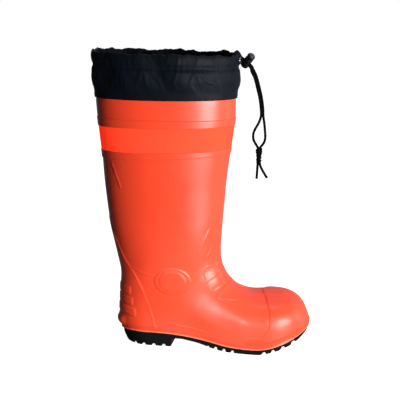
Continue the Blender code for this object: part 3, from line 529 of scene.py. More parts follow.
@dataclass
class Last:
    """Shape that the boot is moulded on: its plan, side lines and sections."""

    sole_length: float = 0.2945
    ball_width: float = 0.110
    heel_width: float = 0.0756
    heel_height: float = 0.022
    forefoot_thickness: float = 0.0086
    toe_spring: float = 0.029
    toe_height: float = 0.0798
    instep_height: float = 0.141
    shaft_height: float = 0.3945
    shaft_depth: float = 0.213
    shaft_width: float = 0.117
    toe_tilt: float = 0.11
    seat_gap: float = 0.0004
    heel_share: float = 0.161
    toe_share: float = 0.235
    end_close: float = 0.1
    plan: Table = (
        (0.000, 0.000, 0.00, 0.500), (0.161, 0.000, 0.00, 0.500), (0.262, -0.005, 0.00, 0.496),
        (0.362, -0.018, 0.10, 0.457), (0.463, -0.023, 0.40, 0.435), (0.564, -0.005, 0.75, 0.456),
        (0.664, 0.017, 1.00, 0.483), (0.715, 0.023, 1.00, 0.498), (0.782, 0.031, 1.00, 0.500),
        (1.000, 0.056, 1.00, 0.500))
    feather_line: Table = (
        (0.000, 0.93, 0.00, 0.000), (0.094, 1.03, 0.00, 0.000), (0.262, 1.00, 0.00, 0.000),
        (0.379, 0.80, 0.13, 0.000), (0.487, 0.50, 0.42, 0.000), (0.597, 0.09, 0.88, 0.000),
        (0.715, 0.00, 1.00, 0.000), (0.799, 0.00, 1.00, 0.066), (0.879, 0.00, 1.00, 0.310),
        (0.940, 0.00, 1.00, 0.586), (1.000, 0.00, 1.00, 0.955))
    tread_line: Table = (
        (0.000, 0.16, 0.00, 0.00), (0.035, 0.00, 0.00, 0.00), (0.758, 0.00, 0.00, 0.00),
        (0.799, 0.00, 0.00, 0.07), (0.849, 0.00, 0.00, 0.20), (0.899, 0.00, 0.00, 0.38),
        (0.940, 0.00, 0.00, 0.58), (0.973, 0.00, 0.00, 0.82), (1.000, 0.00, 0.00, 1.03))
    arch_line: Table = (
        (0.289, 0.56, 0.00, 0.00), (0.305, 0.63, 0.00, 0.00), (0.345, 0.62, 0.00, 0.00),
        (0.382, 0.54, 0.00, 0.00), (0.425, 0.45, 0.00, 0.00), (0.463, 0.33, 0.00, 0.00),
        (0.500, 0.19, 0.00, 0.00), (0.540, 0.09, 0.00, 0.00), (0.597, 0.01, 0.00, 0.00))
    foot: Table = (
        (0.8390, 0.530, 0.8390, 0.30, 1.00, 2.6, 2.8),
        (0.8295, 0.645, 0.8285, 0.25, 1.00, 2.6, 2.8),
        (0.8145, 0.755, 0.8125, 0.20, 1.00, 2.6, 2.9),
        (0.7920, 0.860, 0.7900, 0.14, 1.00, 2.6, 3.0),
        (0.7550, 0.950, 0.7550, 0.07, 1.00, 2.7, 3.3),
        (0.6950, 0.996, 0.7000, -0.03, 0.99, 2.8, 3.8),
        (0.6330, 1.000, 0.6350, -0.08, 0.98, 2.8, 4.0),
        (0.6270, 1.000, 0.6290, -0.08, 0.98, 2.8, 4.0),
        (0.5260, 1.048, 0.5050, -0.08, 0.97, 2.7, 3.4),
        (0.4520, 1.226, 0.3900, -0.05, 0.97, 2.5, 2.8),
        (0.4060, 1.505, 0.2400, -0.02, 1.00, 2.3, 2.5),
        (0.3825, 1.762, 0.0900, -0.01, 1.03, 2.2, 2.3),
        (0.3745, 1.960, -0.0550, 0.05, 1.06, 2.1, 2.2),
        (0.3730, 2.020, -0.1150, 0.12, 1.085, 2.1, 2.1),
        (0.3725, 2.045, -0.1500, 0.22, 1.110, 2.1, 2.1),
        (0.3725, 2.054, -0.1600, 0.263, 1.1205, 2.1, 2.1),
        (0.3725, 2.055, -0.1610, 0.272, 1.1220, 2.1, 2.1))
    shaft: Table = (
        (0.515, 0.060, -0.236, -0.764, 0.730, 2.1), (0.517, 0.095, -0.238, -0.647, 0.750, 2.1),
        (0.520, 0.130, -0.233, -0.521, 0.768, 2.1), (0.524, 0.178, -0.229, -0.390, 0.787, 2.1),
        (0.531, 0.257, -0.223, -0.2265, 0.808, 2.1), (0.541, 0.348, -0.250, 0.000, 0.830, 2.1),
        (0.553, 0.466, -0.301, 0.198, 0.880, 2.1), (0.567, 0.562, -0.333, 0.425, 0.935, 2.1),
        (0.579, 0.632, -0.347, 0.596, 0.965, 2.1), (0.580, 0.640, -0.348, 0.604, 0.967, 2.1),
        (0.613, 0.842, -0.378, 0.842, 1.000, 2.15), (0.614, 0.850, -0.379, 0.850, 1.000, 2.15),
        (0.615, 0.945, -0.386, 0.945, 1.010, 2.2), (0.615, 1.000, -0.386, 1.000, 1.010, 2.2))
    tracks: dict[str, Track] = field(default_factory=dict, init=False)

    def __post_init__(self) -> None:
        """Set up the smooth curves through the tables."""
        self.heel_centre = self.heel_share * self.sole_length
        self.toe_tip = self.sole_length - self.heel_centre
        sizes = (self.heel_height, self.forefoot_thickness, self.toe_spring)
        for name, rows in (("feather", self.feather_line), ("tread", self.tread_line),
                           ("arch", self.arch_line)):
            self.tracks[name] = Track([
                (row[0], sum(share * size for share, size in zip(row[1:], sizes)))
                for row in rows])
        self.tracks["centre"] = Track([(row[0], row[1] * self.ball_width) for row in self.plan])
        self.tracks["half"] = Track([
            (row[0], row[3] * (self.heel_width * (1 - row[2]) + self.ball_width * row[2]))
            for row in self.plan])
        toe = [(self.level(row[1]), row[0] * self.sole_length) for row in self.foot[:5]]
        heel = [(self.level(self.foot[-1][3]), self.foot[-1][2] * self.sole_length)]
        heel += [(self.rise(row[3]), row[2] * self.shaft_depth) for row in self.shaft[:4]]
        self.tracks["toe"], self.tracks["heel"] = Track(toe), Track(heel)
        self.sections = [Track(list(enumerate(column))) for column in np.array(self._rows()).T]

    def _rows(self) -> list[tuple[float, ...]]:
        """Work out every section of the tables.

        Returns:
            The sections in metres: two ends, half width and two roundnesses.
        """
        rows = []
        for front, front_level, back, back_level, fill, round_out, round_in in self.foot:
            middle = 0.5 * (front + back) * self.sole_length
            rows.append((front * self.sole_length, self.level(front_level), back * self.sole_length,
                         self.level(back_level), fill * float(self.half_width(middle)),
                         round_out, round_in))
        for front, front_rise, back, back_rise, width, roundness in self.shaft:
            rows.append((front * self.shaft_depth, self.rise(front_rise), back * self.shaft_depth,
                         self.rise(back_rise), width * self.shaft_width / 2, roundness, roundness))
        return rows

    def level(self, level: float) -> float:
        """Return the height of a level.

        Args:
            level: 0 on the floor, 1 at the toe, 2 at the instep and 3 at the shaft's top.

        Returns:
            The height in metres.
        """
        stops = (0.0, self.toe_height, self.instep_height, self.shaft_height)
        index = min(2, max(0, math.floor(level)))
        return stops[index] + (level - index) * (stops[index + 1] - stops[index])

    def rise(self, rise: float) -> float:
        """Return the height of a rise above the instep, or of a drop below it."""
        above = self.shaft_height - self.instep_height
        return self.instep_height + rise * (above if rise > 0.0 else self.instep_height)

    def along(self, x: np.ndarray | float) -> np.ndarray | float:
        """Return the share of the sole's length at a place."""
        return (x + self.heel_centre) / self.sole_length

    def line(self, name: str, x: np.ndarray | float) -> np.ndarray:
        """Return a side or plan line at a place.

        Args:
            name: feather, tread, arch, centre or half.
            x: Places along the boot.

        Returns:
            The line's value there, in metres.
        """
        return self.tracks[name].at(self.along(x))

    def half_width(self, x: np.ndarray | float, inset: float = 0.0) -> np.ndarray:
        """Return half the width of the sole, less an inset all round.

        Args:
            x: Places along the boot.
            inset: How far the outline is drawn in.

        Returns:
            Half the width there.
        """
        heel_round, toe_round = self.heel_centre, self.toe_share * self.sole_length
        heel = np.clip((x + self.heel_centre - inset) / heel_round, 0.0, 1.0)
        toe = np.clip((self.toe_tip - x - inset) / toe_round, 0.0, 1.0)
        ends = np.sqrt(1.0 - (1.0 - heel) ** 2) * np.sqrt(1.0 - (1.0 - toe) ** 2)
        return (self.line("half", x) - inset) * ends

    def cuts(self, index: np.ndarray) -> np.ndarray:
        """Return the sections at fractional places in the tables, one row each."""
        return np.stack([track.at(index) for track in self.sections], -1)

    def surface(self, cut: np.ndarray, turn: np.ndarray,
                side: Side) -> tuple[np.ndarray, np.ndarray]:
        """Return points of the upper's outside.

        Args:
            cut: Sections, one row each.
            turn: Turns in each section, 0 on the front or top line and pi on the back line.
            side: Side of the foot.

        Returns:
            The points, and their rise above the line where the upper meets the sole.
        """
        front_x, front_z, back_x, back_z, half, round_out, round_in = (
            cut[:, k, None] for k in range(7))
        power = 2.0 / (round_out if side is Side.OUTER else round_in)
        cosine, sine = np.cos(turn), np.abs(np.sin(turn))
        share = 0.5 * (1.0 - np.sign(cosine) * np.abs(cosine) ** power)
        x = front_x + (back_x - front_x) * share
        z = front_z + (back_z - front_z) * share
        width = half * sine ** power
        zone = self.instep_height * (0.241 + 0.213 * ease((0.3735 - x / self.sole_length) / 0.2037))
        rise = z - self.line("feather", x) - self.seat_gap
        low = ease(1.0 - (rise - 0.004) / zone)
        width = width + (self.half_width(x + self._shift(x, z)) - width) * low
        width = width * np.minimum(1.0, sine ** power / self.end_close)
        centre = self.line("centre", x) * ease(2.0 - z / self.instep_height)
        toe_part = ease((x / self.sole_length - 0.45) / 0.2)
        tilt = self.toe_tilt * side.value * width * toe_part * ease(2.0 * rise / self.toe_height)
        return np.stack([x, centre + side.value * width, z + tilt], -1), rise

    def _shift(self, x: np.ndarray, height: np.ndarray) -> np.ndarray:
        """Return how far the plan moves to meet the toe's and heel's own profile.

        Args:
            x: Places along the boot.
            height: Heights there.

        Returns:
            The shift along the boot.
        """
        toe = (self.toe_tip - self.tracks["toe"].at(height)) * ease(2.0 * x / self.toe_tip - 1.0)
        heel = -self.heel_centre - self.tracks["heel"].at(height)
        return toe + heel * ease((0.6 * self.heel_centre - x) / (1.6 * self.heel_centre))

    def stations(self, inset: float, ends: int, middle: int) -> np.ndarray:
        """Return places along the sole, close together round the heel and toe.

        Args:
            inset: How far the outline is drawn in.
            ends: Places round each end.
            middle: Places between the ends.

        Returns:
            The places, heel to toe.
        """
        toe_start = self.toe_tip - self.toe_share * self.sole_length
        heel_tip, toe_tip = inset - self.heel_centre, self.toe_tip - inset
        turn = np.linspace(0.0, math.pi / 2, ends + 1)
        heel = heel_tip * np.cos(turn[:-1])
        straight = np.linspace(0.0, toe_start, middle + 1)
        toe = toe_start + (toe_tip - toe_start) * np.sin(turn[1:])
        return np.concatenate([heel, straight, toe])


@dataclass(frozen=True)
class MouldedLine:
    """Raised or sunk line, drawn as seen from the boot's side, in millimetres."""

    route: tuple[Pair, ...]
    form: Form
    height: float
    width: float
    fade: float = 0.0

    def offset(self, x: np.ndarray, z: np.ndarray) -> np.ndarray:
        """Return how far the line lifts the surface.

        Args:
            x: Places along the boot, in metres.
            z: Heights, in metres.

        Returns:
            The lift in metres.
        """
        route = self._smooth() * MM
        margin = MM * (3.0 * self.width + 2.0 * self.fade)
        whole = self.form is Form.LEDGE
        near = np.ones(x.shape, bool) if whole else (
            (x > route[:, 0].min() - margin) & (x < route[:, 0].max() + margin)
            & (z > route[:, 1].min() - margin) & (z < route[:, 1].max() + margin))
        points = np.stack([x[near], z[near]], -1)
        reach = np.full(len(points), FAR)
        side = np.zeros(len(points))
        for start, end in zip(route, route[1:]):
            step = end - start
            away = points - start
            share = np.clip(away @ step / (step @ step), 0.0, 1.0)
            far = np.linalg.norm(away - share[:, None] * step, axis=1)
            closer = far < reach - 1e-9
            reach = np.where(closer, far, reach)
            side = np.where(closer, np.sign(step[0] * away[:, 1] - step[1] * away[:, 0]), side)
        wide = self.width * MM
        if self.form is Form.RIDGE:
            lift = hump(reach / wide)
        else:
            lift = ease(side * reach / wide + 0.5)
            if self.fade > 0.0:
                lift = lift * np.exp(-np.maximum(0.0, reach) / (self.fade * MM))
        result = np.zeros(x.shape)
        result[near] = self.height * MM * lift
        return result

    def _smooth(self) -> np.ndarray:
        """Return the route with its corners rounded, where it has any."""
        stops = np.array(self.route, float)
        return spline(stops, 4) if len(stops) > 2 else stops


COUNTER_ROUTE: tuple[Pair, ...] = (
    (10.5, 42.0), (7.0, 54.0), (1.5, 73.0), (-4.5, 89.0), (-12.0, 104.0), (-21.0, 119.0),
    (-31.0, 130.5), (-41.0, 147.0), (-48.0, 163.0), (-53.5, 175.0))


@dataclass
class Upper:
    """Moulded foot and leg of the boot, with its lines, pads, ribs and band."""

    last: Last
    wall: float = 0.0026
    columns: int = 184
    edge_columns: int = 14
    edge_depth: float = 0.005
    disc_middle: Pair = (0.0415, 0.1080)
    disc_tiers: tuple[tuple[float, float, float], ...] = ((0.0272, 0.0213, 0.0011),
                                                         (0.0198, 0.0165, 0.0009))
    cap_line: MouldedLine = MouldedLine(
        ((176.0, 81.0), (182.0, 78.0), (187.0, 71.5), (190.5, 64.0), (191.5, 53.0), (190.5, 43.0),
         (186.5, 35.5), (178.5, 29.5), (168.0, 26.3), (158.0, 25.0)), Form.LEDGE, 1.2, 1.2)
    counter_line: MouldedLine = MouldedLine(COUNTER_ROUTE, Form.LEDGE, 0.8, 1.8)
    lines: tuple[MouldedLine, ...] = (
        MouldedLine(COUNTER_ROUTE, Form.RIDGE, 0.60, 0.9),
        MouldedLine(((-31.0, 130.5), (-23.0, 126.0), (-11.0, 121.0), (1.0, 117.5), (15.0, 116.0)),
                    Form.RIDGE, 0.55, 0.9),
        MouldedLine(((-51.0, 287.0), (-44.0, 270.0), (-37.5, 252.0)), Form.RIDGE, 0.95, 0.9),
        MouldedLine(((93.5, 184.0), (81.0, 155.0), (68.5, 126.0)), Form.STEP, 0.6, 0.7, 9.0),
        MouldedLine(((102.0, 176.0), (102.0, 168.0)), Form.STEP, 0.45, 0.7, 5.0),
        MouldedLine(((98.0, 158.0), (95.0, 151.5), (92.8, 146.0), (92.8, 139.0)),
                    Form.STEP, 0.5, 0.7, 7.0),
        MouldedLine(((99.0, 132.5), (93.0, 131.5), (89.0, 127.5), (88.5, 121.5), (90.0, 115.0)),
                    Form.STEP, 0.5, 0.7, 8.0),
        MouldedLine(((112.0, 121.0), (104.0, 113.3), (96.0, 108.5), (93.0, 104.8), (97.0, 98.5),
                     (100.5, 94.3), (104.0, 94.5), (112.0, 99.5)), Form.STEP, 0.55, 0.7, 9.0),
        MouldedLine(((127.0, 106.0), (121.5, 100.5), (113.0, 93.0), (109.8, 88.0), (113.0, 83.8),
                     (121.0, 81.8), (137.0, 80.8)), Form.STEP, 0.6, 0.7, 10.0),
        MouldedLine(((44.0, 36.5), (68.0, 33.5), (94.0, 28.5)), Form.RIDGE, 0.22, 1.1))
    rib_lines: tuple[tuple[float, float, float], ...] = (
        (87.5, -0.02, -26.0), (71.0, -0.06, -23.0), (54.5, -0.13, -18.5))
    rib_half: float = 6.2
    rib_height: float = 0.0011
    spur_height: float = 0.0042
    spur_level: float = 0.245
    spur_width: float = 0.055
    spur_end: float = -0.115
    seam_height: float = 0.00055
    seam_width: float = 0.0011
    gate_height: float = 0.0013
    gate_level: float = 0.0445
    groove_depth: float = 0.00035
    groove_rise: float = 0.0027
    band_lines: tuple[Pair, ...] = ((0.2965, 0.0465), (0.3070, 0.0225), (0.3432, 0.0165),
                                    (0.3555, 0.0))
    band_height: float = 0.0010
    tape_depth: float = 0.0007
    tape_margin: float = 0.0002
    leg_start: float = 25.0
    row_spacing: tuple[Pair, ...] = ((0.150, 0.00115), (0.200, 0.0019), (0.290, 0.0019),
                                     (0.300, 0.0014))
    turned_in: float = 0.8
    rim_depth: float = 0.012
    lip_profile: tuple[Pair, ...] = ((-0.7, -0.3), (0.45, -0.3), (0.85, 0.1), (0.95, 0.6),
                                     (0.80, 1.15), (0.30, 1.5), (-0.7, 1.5))
    lip_slide: tuple[Pair, ...] = ((-0.0474, 1.0), (0.0, 0.0), (0.178, 0.0), (0.2471, -1.0))
    lining_columns: int = 44
    lining_rows: int = 110
    lining_start: float = 0.6

    def build(self) -> list[bpy.types.Object]:
        """Make the foot, the leg, the lip round the sole and the lining.

        Returns:
            The finished objects.
        """
        foot_rows, leg_rows = self._rows()
        skin = self._skin(foot_rows, True)
        middle = len(skin) // 2
        foot, ankle, leg = Piece("upper_foot"), Piece("upper_ankle"), Piece("upper_leg")
        foot.add_grid(skin[:middle + 1])
        ankle.add_grid(skin[middle:])
        skin = self._skin(leg_rows, False)
        leg.add_grid(np.concatenate([skin, self._rim(skin)]))
        done = [foot.finish("boot", PALETTE.orange, "upper", ["upper"]),
                ankle.finish("boot", PALETTE.orange, "upper"),
                leg.finish("boot", PALETTE.orange, "upper")]
        self._dress_band(done[2])
        done.append(self._lip())
        done.append(self._lining(leg_rows))
        return done

    def _rows(self) -> tuple[np.ndarray, np.ndarray]:
        """Space the rows, closer where there is detail.

        Returns:
            The places of the foot's rows and of the leg's rows in the tables of sections.
        """
        last = len(self.last.sections[0].places) - 1
        dense = np.linspace(0.0, last, 3001)
        cuts = self.last.cuts(dense)
        turn = np.tile(np.linspace(0.0, math.pi, 13), (len(dense), 1))
        points, _ = self.last.surface(cuts, turn, Side.OUTER)
        steps = np.linalg.norm(np.diff(points, axis=0), axis=-1).max(1)
        height = 0.5 * (points[1:, 6, 2] + points[:-1, 6, 2])
        spacing = np.interp(height, *zip(*self.row_spacing))
        for line, _ in self.band_lines:
            spacing = spacing * (1.0 - 0.62 * hump((height - line - 0.001) / 0.004))
        total = np.concatenate([[0.0], np.cumsum(steps / spacing)])
        split = float(np.interp(self.leg_start, dense, total))
        foot = np.interp(np.linspace(0.0, split, round(split)), total, dense)
        leg_count = round(total[-1] - split)
        return foot, np.interp(np.linspace(split, total[-1], leg_count), total, dense)

    def _half(self, rows: np.ndarray, side: Side) -> tuple[np.ndarray, np.ndarray]:
        """Return points down one side of each row, cut off where the sole starts.

        Args:
            rows: Places in the tables of sections.
            side: Side of the foot.

        Returns:
            The points, and 1 for each row that ends at the sole.
        """
        cuts = self.last.cuts(rows)
        fine = np.tile(np.linspace(0.0, math.pi, 241), (len(rows), 1))
        _, rise = self.last.surface(cuts, fine, side)
        under = rise < 0.0
        opened = under.any(1)
        first = np.where(opened, under.argmax(1), 240)
        low = fine[0][np.maximum(first - 1, 0)][:, None]
        high = fine[0][first][:, None]
        for _ in range(26):
            middle = 0.5 * (low + high)
            below = self.last.surface(cuts, middle, side)[1] < 0.0
            low, high = np.where(below, low, middle), np.where(below, middle, high)
        end = np.where(opened[:, None], low, math.pi)
        dense, _ = self.last.surface(cuts, end * np.linspace(0.0, 1.0, 481)[None, :], side)
        steps = np.linalg.norm(np.diff(dense, axis=1), axis=-1)
        lengths = np.concatenate([np.zeros((len(rows), 1)), np.cumsum(steps, axis=1)], 1)
        plain = self.columns - self.edge_columns
        crowd = ease((20.5 - rows) / 4.0)
        result = np.empty((len(rows), self.columns + 1, 3))
        for r, length in enumerate(lengths):
            total = length[-1]
            edge = min(self.edge_depth, 0.3 * total) * crowd[r]
            edge += total * self.edge_columns / self.columns * (1.0 - crowd[r])
            places = np.concatenate([np.linspace(0.0, total - edge, plain + 1)[:-1],
                                     np.linspace(total - edge, total, self.edge_columns + 1)])
            result[r] = between(places, length, dense[r])
        return result, opened.astype(float)

    def _shell(self, rows: np.ndarray) -> tuple[np.ndarray, np.ndarray, np.ndarray]:
        """Join both sides of each row.

        Args:
            rows: Places in the tables of sections.

        Returns:
            The plain outside, its normals and 1 for each row that ends at the sole.
        """
        outer, opened = self._half(rows, Side.OUTER)
        inner, _ = self._half(rows, Side.INNER)
        grid = np.concatenate([outer[:, ::-1], inner[:, 1:]], 1)
        across = np.gradient(grid, axis=1)
        ring = opened < 0.5
        across[ring, 0] = across[ring, -1] = grid[ring, 1] - grid[ring, -2]
        along = np.gradient(grid, axis=0)
        normals = np.cross(across, along)
        size = np.linalg.norm(normals, axis=-1, keepdims=True)
        normals = np.where(size > 1e-12, normals / np.maximum(size, 1e-12), 0.0)
        if rows[0] < 0.5:
            normals[0] = (1.0, 0.0, 0.0)
        return grid, normals, opened

    def _skin(self, rows: np.ndarray, edged: bool) -> np.ndarray:
        """Return the outside with all its moulded forms.

        Args:
            rows: Places in the tables of sections.
            edged: Whether the edge is turned in at the sole.

        Returns:
            The points of the outside.
        """
        grid, normals, opened = self._shell(rows)
        skin = grid + normals * self._relief(grid)[..., None]
        if not edged:
            return skin
        turned = self.turned_in * self.wall * opened[:, None]
        first = skin[:, :1] - (normals[:, :1] * turned[..., None])
        final = skin[:, -1:] - (normals[:, -1:] * turned[..., None])
        return np.concatenate([first, skin, final], 1)

    def _rim(self, skin: np.ndarray) -> np.ndarray:
        """Return rows that round the leg's top edge over to the inside.

        Args:
            skin: The leg's outside.

        Returns:
            The rows, from the edge inwards and down.
        """
        top = skin[-1]
        aim = top.mean(0) - top
        aim[:, 2] = 0.0
        aim /= np.linalg.norm(aim, axis=1)[:, None]
        rows = []
        for turn in np.linspace(0.0, math.pi, 7)[1:]:
            reach = 0.5 * self.wall * (1.0 - math.cos(turn))
            crown = 0.25 * self.wall * math.sin(turn)
            rows.append(top + aim * reach + Vector((0.0, 0.0, crown)))
        rows.append(rows[-1] - np.array([0.0, 0.0, self.rim_depth]))
        return np.array(rows)

    def _relief(self, grid: np.ndarray) -> np.ndarray:
        """Return how far the moulded forms lift the surface.

        Args:
            grid: Plain points of the outside.

        Returns:
            The lift in metres, point by point.
        """
        x, y, z = grid[..., 0], grid[..., 1], grid[..., 2]
        rise = z - self.last.line("feather", x) - self.last.seat_gap
        lift = self.cap_line.offset(x, z) * ease((rise - 0.006) / 0.006)
        lift = lift * ease((x - 0.150) / 0.016)
        lift += self.counter_line.offset(x, z) * ease((rise - 0.004) / 0.006)
        for line in self.lines:
            lift += line.offset(x, z)
        for across, up, height in self.disc_tiers:
            reach = np.hypot((x - self.disc_middle[0]) / across, (z - self.disc_middle[1]) / up)
            lift += height * ease((1.0 - reach) * up / 0.0013 + 0.5)
        lift += self._heel_forms(x, z, rise) + self._band(x, z)
        centre = self.last.line("centre", x)
        seam = hump((y - centre) / self.seam_width) * ease((x - 0.105) / 0.02)
        lift += self.seam_height * (seam * ease((0.112 - z) / 0.02))
        gate = hump((z - self.gate_level) / 0.0035) * hump((y - centre) / 0.006)
        lift += self.gate_height * (gate * ease((x - 0.240) / 0.004))
        groove = self.groove_depth * hump((rise - self.groove_rise) / 0.0007)
        return lift - groove * ease((0.09 - z) / 0.01)

    def _heel_forms(self, x: np.ndarray, z: np.ndarray, rise: np.ndarray) -> np.ndarray:
        """Return the lift of the heel's ribs and of the kick spur below them.

        Args:
            x: Places along the boot.
            z: Heights.
            rise: Rise above the line where the upper meets the sole.

        Returns:
            The lift in metres.
        """
        lift = np.zeros(x.shape)
        for height, slope, end in self.rib_lines:
            middle = (height + slope * (x / MM + 35.0)) * MM
            bar = ease((self.rib_half * MM - np.abs(z - middle)) / 0.0018 + 0.5)
            lift += self.rib_height * bar * ease((end * MM - x) / 0.0014 + 0.5)
        spur = hump((z / self.last.instep_height - self.spur_level) / self.spur_width)
        spur = spur * ease((self.spur_end * self.last.sole_length - x) / 0.012)
        spur = spur * ease(rise / 0.006)
        return lift + self.spur_height * spur

    def _band(self, x: np.ndarray, z: np.ndarray) -> np.ndarray:
        """Return the lift of the raised band round the leg and its sunk middle.

        Args:
            x: Places along the boot.
            z: Heights.

        Returns:
            The lift in metres.
        """
        foot, tape_foot, tape_head, head = (
            ease((z - height - slope * x) / 0.0006 + 0.5) for height, slope in self.band_lines)
        return self.band_height * (foot - head) - self.tape_depth * (tape_foot - tape_head)

    def _dress_band(self, leg: bpy.types.Object) -> None:
        """Give the sunk middle of the band its matt finish, with a painted glow that keeps it
        bright in shade.

        Args:
            leg: The finished leg.
        """
        leg.data.materials.append(PALETTE.material(PALETTE.tape))
        (foot, foot_slope), (head, head_slope) = self.band_lines[1:3]
        for face in leg.data.polygons:
            x, _, z = face.center
            low, high = foot + foot_slope * x, head + head_slope * x
            if low + self.tape_margin < z < high - self.tape_margin:
                face.material_index = 1

    def _lip(self) -> bpy.types.Object:
        """Make the thin lip that stands out where the upper meets the sole, in a lighter orange
        that is a painted highlight.

        Returns:
            The finished object.
        """
        x = self.last.stations(0.0, 60, 150)
        height = self.last.line("feather", x) + self.last.seat_gap
        rings = []
        for out, up in self.lip_profile:
            inset = -out * MM
            half = np.maximum(self.last.half_width(x, inset), 0.0)
            slide = x + inset * np.interp(x, *zip(*self.lip_slide))
            centre = self.last.line("centre", x)
            outer = np.stack([slide, centre - half, height + up * MM], -1)
            inner = np.stack([slide, centre + half, height + up * MM], -1)
            rings.append(np.concatenate([outer, inner[::-1][1:-1]]))
        lip = Piece("upper_lip")
        lip.add_grid(np.array(rings), wrap_rows=True, wrap_columns=True)
        return lip.finish("boot", PALETTE.lip, "upper")

    def _lining(self, leg_rows: np.ndarray) -> bpy.types.Object:
        """Make the knitted lining inside the wall.

        Args:
            leg_rows: Places of the leg's rows in the tables of sections.

        Returns:
            The finished object.
        """
        foot_rows = np.linspace(self.lining_start, self.leg_start, self.lining_rows)
        rows = np.unique(np.concatenate([foot_rows, leg_rows[::6], leg_rows[-1:]]))
        grid, normals, _ = replace(self, columns=self.lining_columns)._shell(rows)
        lining = Piece("knit_lining")
        lining.add_grid(grid - normals * (self.wall - 0.0001))
        return lining.finish("boot", PALETTE.lining, "upper")


@dataclass
class Outsole:
    """Lugged sole: side wall, waist and tread."""

    last: Last
    lip: float = 0.0008
    draft: float = 0.0012
    edge: float = 0.0016
    rake: float = 0.0050
    gap: float = 0.0052
    grooves: Table = (
        (0.085, 0.0160, 4, 0.0, 0.0034, 0.0011), (0.477, 0.0135, 4, 0.14, 0.0043, 0.0016),
        (0.779, 0.0135, 4, 0.14, 0.0043, 0.0016))
    across: int = 72
    end_columns: int = 46
    side_columns: int = 250

    def build(self) -> bpy.types.Object:
        """Make the sole.

        Returns:
            The finished object.
        """
        sole = Piece("outsole_tread")
        levels = ((self.lip, 0.0, 0.0), (self.lip + 0.2 * self.draft, 0.1, 0.2),
                  (self.lip + 0.4 * self.draft, 0.25, 0.5),
                  (self.lip + 0.8 * self.draft, 0.6, 0.75),
                  (self.lip + self.draft, 0.8, 0.88),
                  (self.lip + self.draft + 0.3 * self.edge, 0.9, 0.95),
                  (self.lip + self.draft + self.edge, 1.0, 1.0))
        walls = {Side.OUTER: [], Side.INNER: []}
        for inset, raked, down in levels:
            x = self.last.stations(inset, self.end_columns, self.side_columns)
            placed = x + self.rake * raked * ease(-x / self.last.heel_centre)
            half = self.last.half_width(x, inset)
            top = self.last.line("feather", x)
            for side, rows in walls.items():
                y = self.last.line("centre", x) + side.value * half
                under = self._bottom(x, y)
                height = top + (self.last.line("tread", x) - top) * down
                height = np.maximum(height, under + (top - under) * (1.0 - down) * 0.35)
                if down == 1.0:
                    height = under
                rows.append(np.stack([placed, y, height], -1))
        for rows in walls.values():
            sole.add_grid(np.array(rows))
        inset = self.lip + self.draft + self.edge
        x = self.last.stations(inset, self.end_columns, self.side_columns)
        placed = x + self.rake * ease(-x / self.last.heel_centre)
        share = np.linspace(-1.0, 1.0, self.across + 1)[:, None]
        y = self.last.line("centre", x) + self.last.half_width(x, inset) * share
        wide = np.broadcast_to(x, y.shape)
        sole.add_grid(np.stack([np.broadcast_to(placed, y.shape), y, self._bottom(wide, y)], -1))
        x = self.last.stations(self.lip, self.end_columns, self.side_columns)
        top = np.array([[(px, self.last.line("centre", px) + s * self.last.half_width(px, self.lip),
                          self.last.line("feather", px)) for px in x] for s in (-1.0, 1.0)], float)
        sole.add_grid(top)
        return sole.finish("boot", PALETTE.sole, "outsole", ["outsole"], 32.0)

    def _bottom(self, x: np.ndarray, y: np.ndarray) -> np.ndarray:
        """Return the height of the tread, with its arch and its lugs.

        Args:
            x: Places along the sole.
            y: Places across the sole.

        Returns:
            The heights there.
        """
        share = self.last.along(x)
        arch = self.last.line("arch", x)
        start, end = self.last.arch_line[0][0], self.last.arch_line[-1][0]
        inside = ease((share - start + 0.003) / 0.004) * (share <= end)
        height = np.maximum(self.last.line("tread", x), arch * inside)
        groove = np.zeros(np.broadcast(x, y).shape)
        for first, pitch, count, sweep, depth, lean in self.grooves:
            for number in range(int(count)):
                middle = first * self.last.sole_length - self.last.heel_centre + number * pitch
                middle = middle + sweep * (self.last.ball_width / 2 - np.abs(y))
                side = ease((self.gap / 2 - np.abs(x - middle)) / lean + 0.5)
                groove = np.maximum(groove, depth * side)
        return height + groove * (1.0 - inside * ease((arch - 0.004) / 0.002))


@dataclass
class Footbed:
    """Felt insole with a shallow heel cup."""

    last: Last
    inset: float = 0.0040
    thickness: float = 0.0032
    cup: float = 0.0010

    def build(self) -> bpy.types.Object:
        """Make the insole.

        Returns:
            The finished object.
        """
        x = self.last.stations(self.inset, 20, 70)
        share = np.linspace(-1.0, 1.0, 33)[:, None]
        half = self.last.half_width(x, self.inset)
        y = self.last.line("centre", x) + half * share
        wide = np.broadcast_to(x, y.shape)
        low = np.broadcast_to(self.last.line("feather", x) + self.last.seat_gap, y.shape)
        cup = self.cup * np.abs(share) ** 4 * ease((0.10 - wide) / 0.08)
        high = low + self.thickness - self.last.seat_gap + cup - 0.0006 * np.abs(share) ** 12
        bed = Piece("insole_felt")
        bed.add_grid(np.stack([wide, y, high], -1))
        bed.add_grid(np.stack([wide, y, low], -1))
        for row in (0, -1):
            bed.add_grid(np.array([np.stack([wide[row], y[row], level[row]], -1)
                                   for level in (high, low)]))
        return bed.finish("boot", PALETTE.felt, "insole", ["insole"])


